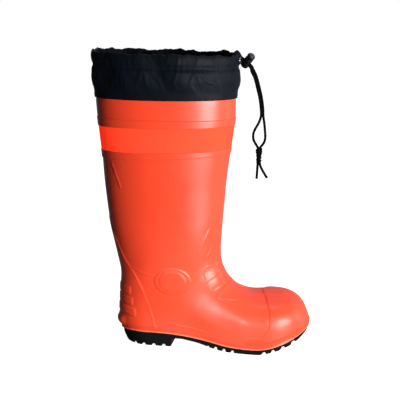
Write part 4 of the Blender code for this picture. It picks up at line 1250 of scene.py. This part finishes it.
@dataclass
class SnowCollar:
    """Gathered cloth collar with a drawcord casing and a ruffle at the cord's exit."""

    last: Last
    fit_gap: float = 0.0005
    height: float = 0.068
    lap: float = 0.010
    slope: float = 0.028
    cloth: float = 0.0016
    gathers: int = 9
    gather_depth: float = 0.0016
    columns: int = 420
    centre: float = 0.0244
    stitch_height: float = 0.71
    seam_height: float = 0.07
    stitch_pitch: Pair = (0.0034, 0.0030)
    stitch_share: float = 0.68
    thread: float = 0.00027
    section_points: int = 118
    broad_waves: tuple[int, int, float, float] = (7, 26, 0.024, 0.065)
    sharp_waves: tuple[int, int, float, float] = (19, 30, 0.016, 0.040)
    rim_waves: tuple[int, int, float, float] = (5, 18, 0.018, 0.055)
    fray_waves: tuple[int, int, float, float] = (11, 18, 0.006, 0.014)
    fold_height: float = 0.0009
    rim_height: float = 0.0010
    fray_height: float = 0.0005
    ruffle_ends: tuple[Point, Point] = ((0.1278, 0.0, 0.4425), (0.1420, 0.0, 0.4400))
    ruffle_size: Pair = (0.0072, 0.0105)
    ruffle_pleat: float = 0.0011
    ruffle_columns: int = 108
    ruffle_profile: Table = (
        (-0.25, 0.2, 0.0), (-0.22, 0.75, 0.05), (0.0, 1.0, 0.09), (0.22, 0.93, 0.12),
        (0.45, 0.72, 0.13), (0.65, 0.54, 0.12), (0.82, 0.44, 0.10), (0.95, 0.40, 0.08),
        (1.0, 0.30, 0.05), (1.0, 0.05, 0.0))
    hem: tuple[tuple[float, float, float], ...] = (
        (1.0, 0.00, 0.0), (1.5, 0.16, 0.3), (3.2, 0.42, 0.8), (3.2, 0.62, 1.0), (1.7, 0.71, 0.7),
        (3.0, 0.80, 0.6), (3.1, 0.92, 0.8), (2.0, 1.00, 1.0), (0.4, 0.99, 1.0), (0.2, 0.90, 0.8),
        (0.2, 0.72, 0.7), (1.4, 0.60, 1.0), (1.4, 0.42, 0.8), (0.2, 0.22, 0.3), (0.0, 0.16, 0.0),
        (0.0, 0.00, 0.0))

    def place(self, turn: np.ndarray, stand: np.ndarray, height: np.ndarray,
              gather: np.ndarray) -> np.ndarray:
        """Return points of the collar.

        Args:
            turn: Turns round the leg, 0 at the front.
            stand: Stand-off from the leg, in cloth thicknesses.
            height: Heights as shares of the collar.
            gather: How much of the large folds shows.

        Returns:
            The points.
        """
        front, _, back, _, width, roundness = self.last.shaft[-1]
        half_depth = 0.5 * (front - back) * self.last.shaft_depth
        middle = 0.5 * (front + back) * self.last.shaft_depth
        calm = ease((np.abs(turn) - 0.25) / 0.5)
        fold = gather * calm * self.gather_depth
        fold = fold * np.sin(self.gathers * turn + 0.7 * np.sin(2 * turn))
        out = self.fit_gap + stand * self.cloth + fold
        power = 2.0 / roundness
        cosine, sine = np.cos(turn), np.sin(turn)
        x = middle + (half_depth + out) * np.sign(cosine) * np.abs(cosine) ** power
        y = (width * self.last.shaft_width / 2 + out) * np.sign(sine) * np.abs(sine) ** power
        z = self.last.shaft_height - self.lap + height * self.height
        return np.stack([x, y, z + height * self.slope * (middle - x)], -1)

    def build(self) -> list[bpy.types.Object]:
        """Make the collar, its stitches and its ruffle.

        Returns:
            The finished objects.
        """
        profile = self._profile()
        turn = np.linspace(-math.pi, math.pi, self.columns + 1)[:-1][:, None]
        stand, height, gather, outside = profile.T
        points = self.place(turn, stand[None, :], height[None, :], gather[None, :])
        points = points + self._folds(points, turn, height[None, :], outside[None, :])
        cloth = Piece("collar_cloth")
        cloth.add_grid(points, wrap_rows=True, wrap_columns=True)
        item = cloth.finish("boot", PALETTE.nylon, "collar", ["snow_collar"], 75.0)
        stitches = self._stitches(points, height)
        ruffle = self._ruffle()
        return [item, stitches, ruffle]

    def _profile(self) -> np.ndarray:
        """Space the points of the collar's section.

        Returns:
            Stand-off, height, gather and 1 on the outside, a row for each point.
        """
        rows = np.array(self.hem)
        steps = np.hypot(np.diff(rows[:, 0]) * self.cloth, np.diff(rows[:, 1]) * self.height)
        length = np.concatenate([[0.0], np.cumsum(steps + 1e-6)])
        places = np.linspace(0.0, length[-1], self.section_points)
        table = [np.interp(places, length, column) for column in rows.T]
        kernel = np.array([1.0, 2.0, 3.0, 2.0, 1.0]) / 9.0
        for column in table[:2]:
            padded = np.pad(column, 2, mode="edge")
            column[:] = np.convolve(padded, kernel, mode="valid")
        outside = ease((length[7] - places) / 0.006 + 0.5)
        return np.stack([*table, outside], -1)

    def _folds(self, points: np.ndarray, turn: np.ndarray, height: np.ndarray,
               outside: np.ndarray) -> np.ndarray:
        """Return the shift of every point for gathers, creases and the uneven rim.

        Args:
            points: Plain points of the collar.
            turn: Their turns.
            height: Their heights as shares of the collar.
            outside: 1 on the outside of the collar and 0 on its inside.

        Returns:
            The shift of each point.
        """
        aim = points - np.array([self.centre, 0.0, 0.0])
        aim[..., 2] = 0.0
        aim /= np.linalg.norm(aim, axis=-1, keepdims=True)
        free = ease((height - 0.06) / 0.2)
        wander = 1.6 * np.sin(5.0 * turn + 1.0) + 1.1 * np.sin(11.0 * turn)
        pucker = np.sin(74.0 * turn + wander) + 0.6 * np.sin(47.0 * turn - 1.7 * wander)
        pucker = pucker * (0.55 + 0.45 * np.sin(9.0 * turn + 2.0 * wander))
        at_stitch = hump((height - self.stitch_height) / 0.10)
        at_rim = hump((height - 0.99) / 0.08)
        fine = 0.00030 * pucker * (at_stitch + 0.7 * at_rim) * outside
        leaning = points[..., 0] + 0.35 * points[..., 2]
        flat = np.stack([leaning, points[..., 1], points[..., 2] * 0.4], -1)
        broad = Ripple(*self.broad_waves).at(flat)
        sharp = Ripple(*self.sharp_waves).at(flat + 0.006 * broad[..., None])
        crease = np.maximum(0.0, 1.0 - np.abs(sharp) / 0.7) ** 1.5
        held = 1.0 - 0.55 * hump((height - self.stitch_height) / 0.05)
        body = ease((height - 0.10) / 0.25) * held
        folds = self.fold_height * broad * body
        folds = folds + self.fold_height * crease * body * (0.45 + 0.55 * outside)
        reach = (fine + folds * free)[..., None] * aim
        top = ease((height - 0.75) / 0.25)
        level = points * np.array([1.0, 1.0, 0.0])
        wave = self.rim_height * Ripple(*self.rim_waves).at(level)
        wave = wave + self.fray_height * Ripple(*self.fray_waves).at(level)
        reach[..., 2] += wave * top
        return reach

    def _stitches(self, points: np.ndarray, height: np.ndarray) -> bpy.types.Object:
        """Make the rows of stitches above the seam and along the casing.

        Args:
            points: The collar's points, in columns of one section each.
            height: Heights of a section's points as shares of the collar.

        Returns:
            The finished object.
        """
        threads = Piece("collar_stitches")
        outside = np.arange(len(height)) < len(height) // 2
        for level, spacing in zip((self.seam_height, self.stitch_height), self.stitch_pitch):
            index = int(np.argmin(np.where(outside, np.abs(height - level), FAR)))
            ring = np.vstack([points[:, index], points[:1, index]])
            upward = np.vstack([points[:, index + 1], points[:1, index + 1]]) - ring
            length = run(ring)
            for place in np.arange(0.0, length[-1] - spacing, spacing):
                start = between(place, length, ring)
                end = between(place + self.stitch_share * spacing, length, ring)
                up = between(place, length, upward)
                self._add_stitch(threads, start, end, up / np.linalg.norm(up))
        return threads.finish("boot", PALETTE.thread, "collar")

    def _add_stitch(self, threads: Piece, start: np.ndarray, end: np.ndarray,
                    up: np.ndarray) -> None:
        """Add one stitch: a short thread that dips into the cloth at both ends.

        Args:
            threads: Piece that the stitch goes into.
            start: Where the thread comes out of the cloth.
            end: Where it goes back in.
            up: Direction along the cloth, across the thread.
        """
        along = end - start
        out = np.cross(along, up)
        out /= np.linalg.norm(out)
        if out @ (start - np.array([self.centre, 0.0, start[2]])) < 0.0:
            out = -out
        rings = []
        turn = around(6)[:, None]
        for share, size in ((0.0, 0.3), (0.2, 0.9), (0.5, 1.0), (0.8, 0.9), (1.0, 0.3)):
            lift = 0.00028 * math.sin(math.pi * share) - 0.00005
            ring = start + along * share + out * lift
            rings.append(ring + self.thread * size * (np.cos(turn) * up + np.sin(turn) * out))
        threads.add_grid(np.array(rings), wrap_columns=True)
        ends = np.array([rings[0], rings[-1]]).reshape(-1, 3)
        threads.add(ends, [tuple(range(6)), tuple(range(11, 5, -1))])

    def _ruffle(self) -> bpy.types.Object:
        """Make the bunched end of the casing that the cords come out of.

        Returns:
            The finished object.
        """
        ruffle = Piece("collar_ruffle")
        start, end = np.array(self.ruffle_ends)
        axis = end - start
        axis /= np.linalg.norm(axis)
        across = np.array([0.0, 1.0, 0.0])
        up = np.cross(axis, across)
        turn = around(self.ruffle_columns)
        pleat = np.cos(9.0 * turn + 0.8 * np.sin(2 * turn)) + 0.4 * np.cos(17.0 * turn + 1.0)
        spikes = 1.0 + 0.22 * hump((np.mod(turn, 2 * math.pi) - 1.25) / 0.30)
        rings = []
        for share, radius, depth in self.ruffle_profile:
            centre = start + (end - start) * share
            size = radius * (1.0 + depth * pleat) * spikes ** (1.0 if share < 0.5 else 0.0)
            ring = (centre + np.outer(self.ruffle_size[0] * size * np.cos(turn), across)
                    + np.outer(self.ruffle_size[1] * size * np.sin(turn), up))
            rings.append(ring + np.outer(self.ruffle_pleat * pleat * (radius > 0.35), axis))
        ruffle.add_grid(np.array(rings), wrap_columns=True)
        for ring in (rings[0], rings[-1]):
            ruffle.add(ring, [tuple(range(self.ruffle_columns))])
        return ruffle.finish("boot", PALETTE.nylon, "collar", (), 75.0)


@dataclass
class Drawcord:
    """Braided drawcord: two strands through the toggle, a knot and two cut tails."""

    casing_front: Point = (0.13630, 0.0, 0.44158)
    reach: float = 0.0100
    drop: float = 0.0042
    cord: float = 0.0037
    gap: float = 0.0006
    toggle_radius: float = 0.0061
    slot_entry: float = 1.05
    slot_exit: float = 1.5
    strand_drop: float = 0.1404
    tail_length: float = 0.0246
    knot_length: float = 0.0145
    knot_turns: float = 4.6
    knot_heights: tuple[Pair, ...] = ((0.0, 0.3086), (0.45, 0.3020), (0.70, 0.2945),
                                      (1.0, 0.2886))
    knot_reach: tuple[Pair, ...] = ((0.0, 0.0034), (0.2, 0.0038), (0.42, 0.0031), (0.6, 0.0022),
                                    (0.8, 0.0027), (1.0, 0.0024))
    eyelet_spread: float = 0.0040
    strand_spread: float = 0.0020
    closing: float = 0.55
    line: Point = (0.77181, 0.0, -0.63586)
    lean: float = 30.0
    twist_top: float = 0.3112
    twist_foot: float = 0.2852
    strands: tuple[tuple[Pair, ...], ...] = (
        ((0.058, 0.092), (0.090, 0.157), (0.119, 0.262), (0.144, 0.363), (0.160, 0.472),
         (0.163, 0.559), (0.140, 0.631), (0.099, 0.707), (0.083, 0.761), (0.090, 0.823)),
        ((0.074, 0.070), (0.109, 0.143), (0.140, 0.253), (0.165, 0.357), (0.182, 0.472),
         (0.186, 0.559), (0.198, 0.638), (0.206, 0.718), (0.210, 0.790), (0.198, 0.844)))
    tails: tuple[tuple[Pair, ...], ...] = (
        ((-0.081, 0.354), (-0.122, 1.045)), ((0.106, 0.313), (0.276, 0.638), (0.508, 1.004)))

    def slot(self) -> np.ndarray:
        """Return the middle of the toggle's cord slot."""
        return np.array(self.casing_front) + np.array([self.reach, 0.0, -self.drop])

    def across(self) -> np.ndarray:
        """Work out how the two strands lie side by side in the toggle's slot.

        Returns:
            The direction from the outer strand to the inner one.
        """
        lean = math.radians(self.lean)
        sideways = np.array([0.0, math.cos(lean), 0.0])
        return sideways + math.sin(lean) * np.cross(self.line, (0.0, 1.0, 0.0))

    def toggle_axis(self) -> np.ndarray:
        """Return the direction of the toggle's axis, towards its button."""
        return np.cross(self.line, self.across())

    def knot(self) -> np.ndarray:
        """Return the middle of the knot."""
        return self.slot() + np.array([0.146, 0.0, -1.0]) * self.strand_drop

    def route(self, number: int) -> np.ndarray:
        """Return the route of one strand, from its eyelet through the knot to its cut end.

        Args:
            number: 0 for the outer strand and 1 for the inner one.

        Returns:
            Evenly spaced points.
        """
        side = 2 * number - 1
        slot, line, knot = self.slot(), np.array(self.line), self.knot()
        mouth = slot - line * self.slot_entry * self.toggle_radius
        exit_x = self.casing_front[0] + self.gap + 0.0007
        exit_point = np.array([exit_x, side * self.eyelet_spread, mouth[2] - 0.0003])
        stops = [exit_point - (0.00028, 0.0, 0.0), exit_point + (0.0007, 0.0, 0.0)]
        for place in (mouth, slot, slot + line * self.slot_exit * self.toggle_radius):
            stops.append(place + self.across() * side * self.strand_spread)
        y = side * self.closing * self.strand_spread
        for out, down in self.strands[number]:
            stops.append(np.array([slot[0] + out * self.strand_drop, y,
                                   slot[2] - down * self.strand_drop]))
        reach = 0.5 * self.cord
        for share in np.linspace(0.0, 1.0, 9):
            turn = FULL_TURN * share
            height = self.twist_top + (self.twist_foot - self.twist_top) * share
            stops.append(np.array([knot[0] + side * reach * math.cos(turn),
                                   side * reach * math.sin(turn), height]))
        low = knot[2] - self.knot_length / 2
        for out, down in self.tails[number]:
            stops.append(np.array([knot[0] + out * self.tail_length, y,
                                   low - down * self.tail_length]))
        return smooth_route(np.array(stops), 0.0005)

    def build(self) -> list[bpy.types.Object]:
        """Make the strands and their knot.

        Returns:
            The finished objects.
        """
        knot = self._knot()
        done = [knot]
        for number, side in enumerate(("outer", "inner")):
            path = self.route(number)
            strand = Piece("cord_" + side)
            add_tube(strand, path, self.cord / 2, 20)
            item = strand.finish("boot", PALETTE.cord, "cord",
                                 ["drawcord_" + side, "drawcord_tail_" + side], 80.0)
            done.append(item)
        return done

    def _knot(self) -> bpy.types.Object:
        """Make the knot: two tight turns on top, a loose one and a last turn below.

        Returns:
            The finished object.
        """
        share = np.linspace(0.0, 1.0, 260)
        turn = FULL_TURN * self.knot_turns * share
        height = np.interp(share, *zip(*self.knot_heights))
        reach = np.interp(share, *zip(*self.knot_reach))
        reach = reach * (1.0 + 0.06 * np.sin(1.7 * turn))
        centre = self.knot()[0]
        path = np.stack([centre + reach * np.cos(turn), 0.9 * reach * np.sin(turn),
                         height + 0.0008 * np.sin(turn)], -1)
        knot = Piece("cord_knot")
        add_tube(knot, path, 0.47 * self.cord, 16)
        return knot.finish("boot", PALETTE.cord, "cord", ["drawcord_knot"], 80.0)


def smooth_route(stops: np.ndarray, spacing: float) -> np.ndarray:
    """Return evenly spaced points of a smooth curve through stops.

    Args:
        stops: Points that the curve passes.
        spacing: Distance between the points that come back.

    Returns:
        The points.
    """
    dense = spline(stops, 32)
    length = run(dense)
    places = np.linspace(0.0, length[-1], max(8, round(length[-1] / spacing)))
    return between(places, length, dense)


def add_tube(piece: Piece, path: np.ndarray, radius: float, sides: int) -> None:
    """Add a braided round tube along a path, closed at both ends.

    Args:
        piece: Piece that the tube goes into.
        path: Points of its middle line.
        radius: Its radius.
        sides: Points round it.
    """
    aim = np.gradient(path, axis=0)
    aim /= np.linalg.norm(aim, axis=1)[:, None]
    first = np.cross(aim[0], (0.0, 1.0, 0.0))
    first /= np.linalg.norm(first)
    ups = [first]
    for step in aim[1:]:
        up = ups[-1] - step * (ups[-1] @ step)
        ups.append(up / np.linalg.norm(up))
    up = np.array(ups)
    across = np.cross(aim, up)
    turn = around(sides)
    twist = run(path)[:, None] / (2.2 * radius)
    weave = np.abs(np.sin(4 * turn + 2.6 * twist)) + np.abs(np.sin(4 * turn - 2.6 * twist))
    size = radius - BRAID_DEPTH + BRAID_DEPTH * weave
    rings = (path[:, None] + size[..., None] * (np.cos(turn)[None, :, None] * up[:, None]
                                                + np.sin(turn)[None, :, None] * across[:, None]))
    piece.add_grid(rings, wrap_columns=True)
    for end, way in ((0, -1.0), (-1, 1.0)):
        inner = path[end] + 0.8 * (rings[end] - path[end]) + way * aim[end] * 0.12 * radius
        piece.add_grid(np.array([rings[end], inner]), wrap_columns=True)
        piece.add(inner, [tuple(range(sides))])


def add_lathe(piece: Piece, origin: np.ndarray, axis: np.ndarray, profile: Sequence[Pair],
              sides: int) -> None:
    """Add a turned form.

    Args:
        piece: Piece that it goes into.
        origin: Where its axis starts.
        axis: Direction of its axis.
        profile: Radius and distance along the axis, from one closed end to the other.
        sides: Points round it.
    """
    across = np.cross(axis, (0.0, 0.0, 1.0))
    across /= np.linalg.norm(across)
    up = np.cross(axis, across)
    turn = around(sides)
    rings = [origin + axis * along + np.outer(radius * np.cos(turn), across)
             + np.outer(radius * np.sin(turn), up) for radius, along in profile]
    piece.add_grid(np.array(rings), wrap_columns=True)
    for end in (0, -1):
        if profile[end][0] > 1e-6:
            piece.add(rings[end], [tuple(range(sides))])


@dataclass
class Toggle:
    """Cord lock: a grooved barrel with a cord slot and a bore, and a domed push button."""

    cord: Drawcord
    radius: float = 0.0061
    length: float = 0.0175
    wall: float = 0.0011
    travel: float = 0.003
    gap: float = 0.0004
    stand: float = 0.0055
    dome: float = 0.0045
    below: float = 0.43
    floor: float = 0.00235
    face: float = 0.70

    def build(self) -> list[bpy.types.Object]:
        """Make the barrel and the button.

        Returns:
            The finished objects.
        """
        origin, axis = self.cord.slot(), self.cord.toggle_axis()
        foot = -self.below * self.length
        mouth = foot + self.length
        bore = self.radius - self.wall
        barrel = Piece("toggle_body")
        outer = [(0.0, foot), (0.55, foot), (0.80, foot + 0.0002), (0.93, foot + 0.0008),
                 (1.0, foot + 0.0020), (1.0, foot + 0.0034), (0.955, foot + 0.0038),
                 (0.955, foot + 0.0044), (1.0, foot + 0.0048), (1.0, mouth - 0.0022),
                 (0.955, mouth - 0.0018), (0.955, mouth - 0.0013), (1.0, mouth - 0.0010),
                 (0.98, mouth - 0.0003), (0.94, mouth)]
        profile = [(self.radius * share, along) for share, along in outer]
        profile += [(bore + 0.0002, mouth), (bore, mouth - 0.0003), (bore, self.floor),
                    (0.0, self.floor)]
        add_lathe(barrel, origin, axis, profile, 72)
        body = barrel.finish("boot", PALETTE.barrel, "toggle", ["toggle_barrel"], 35.0)
        self._cut_slot(body, origin, axis)
        return [body, self._button(origin, axis, mouth)]

    def _button(self, origin: np.ndarray, axis: np.ndarray, mouth: float) -> bpy.types.Object:
        """Make the push button: its stem and its domed head, with a grey-blue face that is a
        painted reflection.

        Args:
            origin: Middle of the cord slot.
            axis: Direction of the toggle's axis.
            mouth: Distance from the slot to the barrel's mouth.

        Returns:
            The finished object.
        """
        low = self.floor + self.travel + self.gap
        stem = self.radius - self.wall - self.gap
        head_foot, crown = mouth + self.travel + self.gap, mouth + self.travel + self.stand
        profile = [(0.0, low), (0.93 * stem, low), (stem, low + 0.0003), (stem, head_foot),
                   (0.94 * self.radius, head_foot), (0.99 * self.radius, head_foot + 0.0003)]
        for turn in np.linspace(0.0, math.pi / 2, 25):
            reach = self.radius * (0.12 + 0.88 * math.cos(turn))
            groove = 0.00028 * float(hump((reach / self.radius - self.face) / 0.03))
            height = crown - self.dome * (1 - math.sin(turn)) - groove
            profile.append((reach - 0.5 * groove, height))
        profile.append((0.0, crown))
        button = Piece("toggle_push_button")
        add_lathe(button, origin, axis, profile, 64)
        cap = button.finish("button", PALETTE.barrel, "button", ["toggle_button"], 35.0)
        # Faces inside the face ring get the grey-blue painted reflection.
        cap.data.materials.append(PALETTE.material(PALETTE.button))
        for face in cap.data.polygons:
            away = np.array(face.center) - origin
            along = float(away @ axis)
            if along > head_foot and np.linalg.norm(away - along * axis) < self.face * self.radius:
                face.material_index = 1
        return cap

    def _cut_slot(self, body: bpy.types.Object, origin: np.ndarray, axis: np.ndarray) -> None:
        """Cut the rounded slot that both strands pass through.

        Args:
            body: The finished barrel.
            origin: Middle of the cord slot.
            axis: Direction of the toggle's axis.
        """
        way, across = np.array(self.cord.line), self.cord.across()
        half = self.cord.cord / 2 + 0.0003
        turn = around(32)
        wide = np.sign(np.cos(turn)) * self.cord.strand_spread + half * np.cos(turn)
        rings = [origin + way * reach + np.outer(wide, across)
                 + np.outer(half * np.sin(turn), axis) for reach in (-0.012, 0.012)]
        mesh = bpy.data.meshes.new("slot_shape")
        count = len(turn)
        faces = [(i, (i + 1) % count, count + (i + 1) % count, count + i) for i in range(count)]
        faces += [tuple(range(count)), tuple(range(2 * count - 1, count - 1, -1))]
        mesh.from_pydata(np.vstack(rings).tolist(), [], faces)
        work = bmesh.new()
        work.from_mesh(mesh)
        bmesh.ops.recalc_face_normals(work, faces=work.faces)
        work.to_mesh(mesh)
        work.free()
        shape = put("slot_shape", mesh)
        modifier = body.modifiers.new("slot", "BOOLEAN")
        modifier.object, modifier.solver = shape, "EXACT"
        bpy.context.view_layer.update()
        solved = body.evaluated_get(bpy.context.evaluated_depsgraph_get())
        cut = bpy.data.meshes.new_from_object(solved)
        body.modifiers.clear()
        body.data = cut
        bpy.data.objects.remove(shape)


@dataclass
class Eyelets:
    """Two metal eyelets with rolled flanges."""

    cord: Drawcord
    radius: float = 0.0031
    wire: float = 0.0007

    def build(self) -> list[bpy.types.Object]:
        """Make both eyelets.

        Returns:
            The finished objects.
        """
        done = []
        turn = around(48)
        for name in ("outer", "inner"):
            low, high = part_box("eyelet_" + name)
            middle = np.array((low + high) / 2)
            eyelet = Piece("eyelet_ring_" + name)
            rings = []
            for small in around(12):
                reach = self.radius + self.wire * math.cos(small)
                level = np.full(len(turn), middle[0] + self.wire * math.sin(small))
                rings.append(np.stack([level, middle[1] + reach * np.cos(turn),
                                       middle[2] + reach * np.sin(turn)], -1))
            eyelet.add_grid(np.array(rings), wrap_rows=True, wrap_columns=True)
            done.append(eyelet.finish("boot", PALETTE.steel, "eyelet", ["eyelet_" + name]))
        return done


@dataclass(frozen=True)
class Lamp:
    """One soft box: its place, aim, size, power in watts and beam in degrees."""

    name: str
    place: Point
    aim: Point
    width: float
    height: float
    power: float
    beam: float = 180.0


@dataclass
class Studio:
    """Camera, floor and lights."""

    target: Point = (0.077, 0.0, 0.2274)
    azimuth: float = 9.5
    elevation: float = 12.4
    distance: float = 1.477
    lens: float = 86.67
    fill: Pair = (0.02, 0.50)
    fill_aim: Point = (0.55, 0.83, 0.0)
    fill_range: Pair = (-0.5, 1.0)
    floor_reach: float = 6.0
    floor_level: float = -0.0004
    backdrop: float = 1.0
    lamps: tuple[Lamp, ...] = (
        Lamp("key", (1.08, -1.12, 0.32), (0.06, -0.02, 0.20), 0.55, 0.55, 38.0),
        Lamp("vamp", (-0.20, -1.45, 0.12), (0.10, -0.04, 0.075), 0.14, 0.14, 0.045, 10.0),
        Lamp("side", (1.35, 0.15, 0.40), (0.05, 0.0, 0.22), 0.50, 0.90, 3.4),
        Lamp("top", (0.10, 0.20, 1.60), (0.05, 0.0, 0.30), 0.40, 0.40, 2.8))

    def build_camera(self) -> None:
        """Set the camera at the photograph's angle."""
        a, e = math.radians(self.azimuth), math.radians(self.elevation)
        back = Vector((math.sin(a) * math.cos(e), -math.cos(a) * math.cos(e), math.sin(e)))
        data = bpy.data.cameras.new("camera")
        data.lens, data.sensor_width = self.lens, 36.0
        data.clip_start, data.clip_end = 0.05, 50.0
        camera = put("camera", data)
        camera.location = Vector(self.target) + back * self.distance
        camera.rotation_euler = (-back).to_track_quat("-Z", "Y").to_euler()
        bpy.context.scene.camera = camera

    def build_set(self) -> None:
        """Lay the floor, light the room and hang the lamps."""
        bpy.context.scene.view_settings.view_transform = "Standard"
        self._lay_floor()
        self._light_room()
        for lamp in self.lamps:
            self._light(lamp)

    def _lay_floor(self) -> None:
        """Lay the floor under the boot."""
        floor = bpy.data.meshes.new("floor")
        corners = [(x * self.floor_reach, y * self.floor_reach, self.floor_level)
                   for x, y in ((-1, -1), (1, -1), (1, 1), (-1, 1))]
        floor.from_pydata(corners, [], [(0, 1, 2, 3)])
        floor.materials.append(PALETTE.material(PALETTE.floor))
        item = put("floor", floor)
        item.visible_diffuse = item.visible_glossy = False

    def _light_room(self) -> None:
        """Set the white backdrop and the soft light that comes from one side of the room."""
        world = bpy.data.worlds.new("studio")
        world.use_nodes = True
        tree = world.node_tree
        seen = tree.nodes.new("ShaderNodeLightPath").outputs["Is Camera Ray"]
        aim = tree.nodes.new("ShaderNodeVectorMath")
        aim.operation = "DOT_PRODUCT"
        aim.inputs[1].default_value = self.fill_aim
        place = tree.nodes.new("ShaderNodeTexCoord").outputs["Generated"]
        tree.links.new(place, aim.inputs[0])
        side = tree.nodes.new("ShaderNodeMapRange")
        side.interpolation_type = "SMOOTHSTEP"
        side.inputs["From Min"].default_value = self.fill_range[0]
        side.inputs["From Max"].default_value = self.fill_range[1]
        side.inputs["To Min"].default_value = self.fill[0]
        side.inputs["To Max"].default_value = self.fill[1]
        tree.links.new(aim.outputs["Value"], side.inputs["Value"])
        level = tree.nodes.new("ShaderNodeMix")
        level.inputs["B"].default_value = self.backdrop
        tree.links.new(seen, level.inputs["Factor"])
        tree.links.new(side.outputs["Result"], level.inputs["A"])
        tree.links.new(level.outputs["Result"], tree.nodes["Background"].inputs["Strength"])
        tree.nodes["Background"].inputs["Color"].default_value = (1.0, 1.0, 1.0, 1.0)
        bpy.context.scene.world = world

    def _light(self, lamp: Lamp) -> None:
        """Hang one soft lamp.

        Args:
            lamp: Its place, aim, size, power and beam.
        """
        data = bpy.data.lights.new(lamp.name, "AREA")
        data.shape, data.size, data.size_y = "RECTANGLE", lamp.width, lamp.height
        data.energy, data.spread = lamp.power, math.radians(lamp.beam)
        item = put(lamp.name, data)
        item.location = lamp.place
        aim = Vector(lamp.aim) - Vector(lamp.place)
        item.rotation_euler = aim.to_track_quat("-Z", "Y").to_euler()


def main() -> None:
    """Build the boot and its studio."""
    studio = Studio()
    studio.build_camera()
    cord = Drawcord()
    cord.build()
    last = Last()
    for part in (Upper(last), Outsole(last), Footbed(last), SnowCollar(last), Toggle(cord),
                 Eyelets(cord)):
        part.build()
    studio.build_set()


if __name__ == "__main__":
    main()
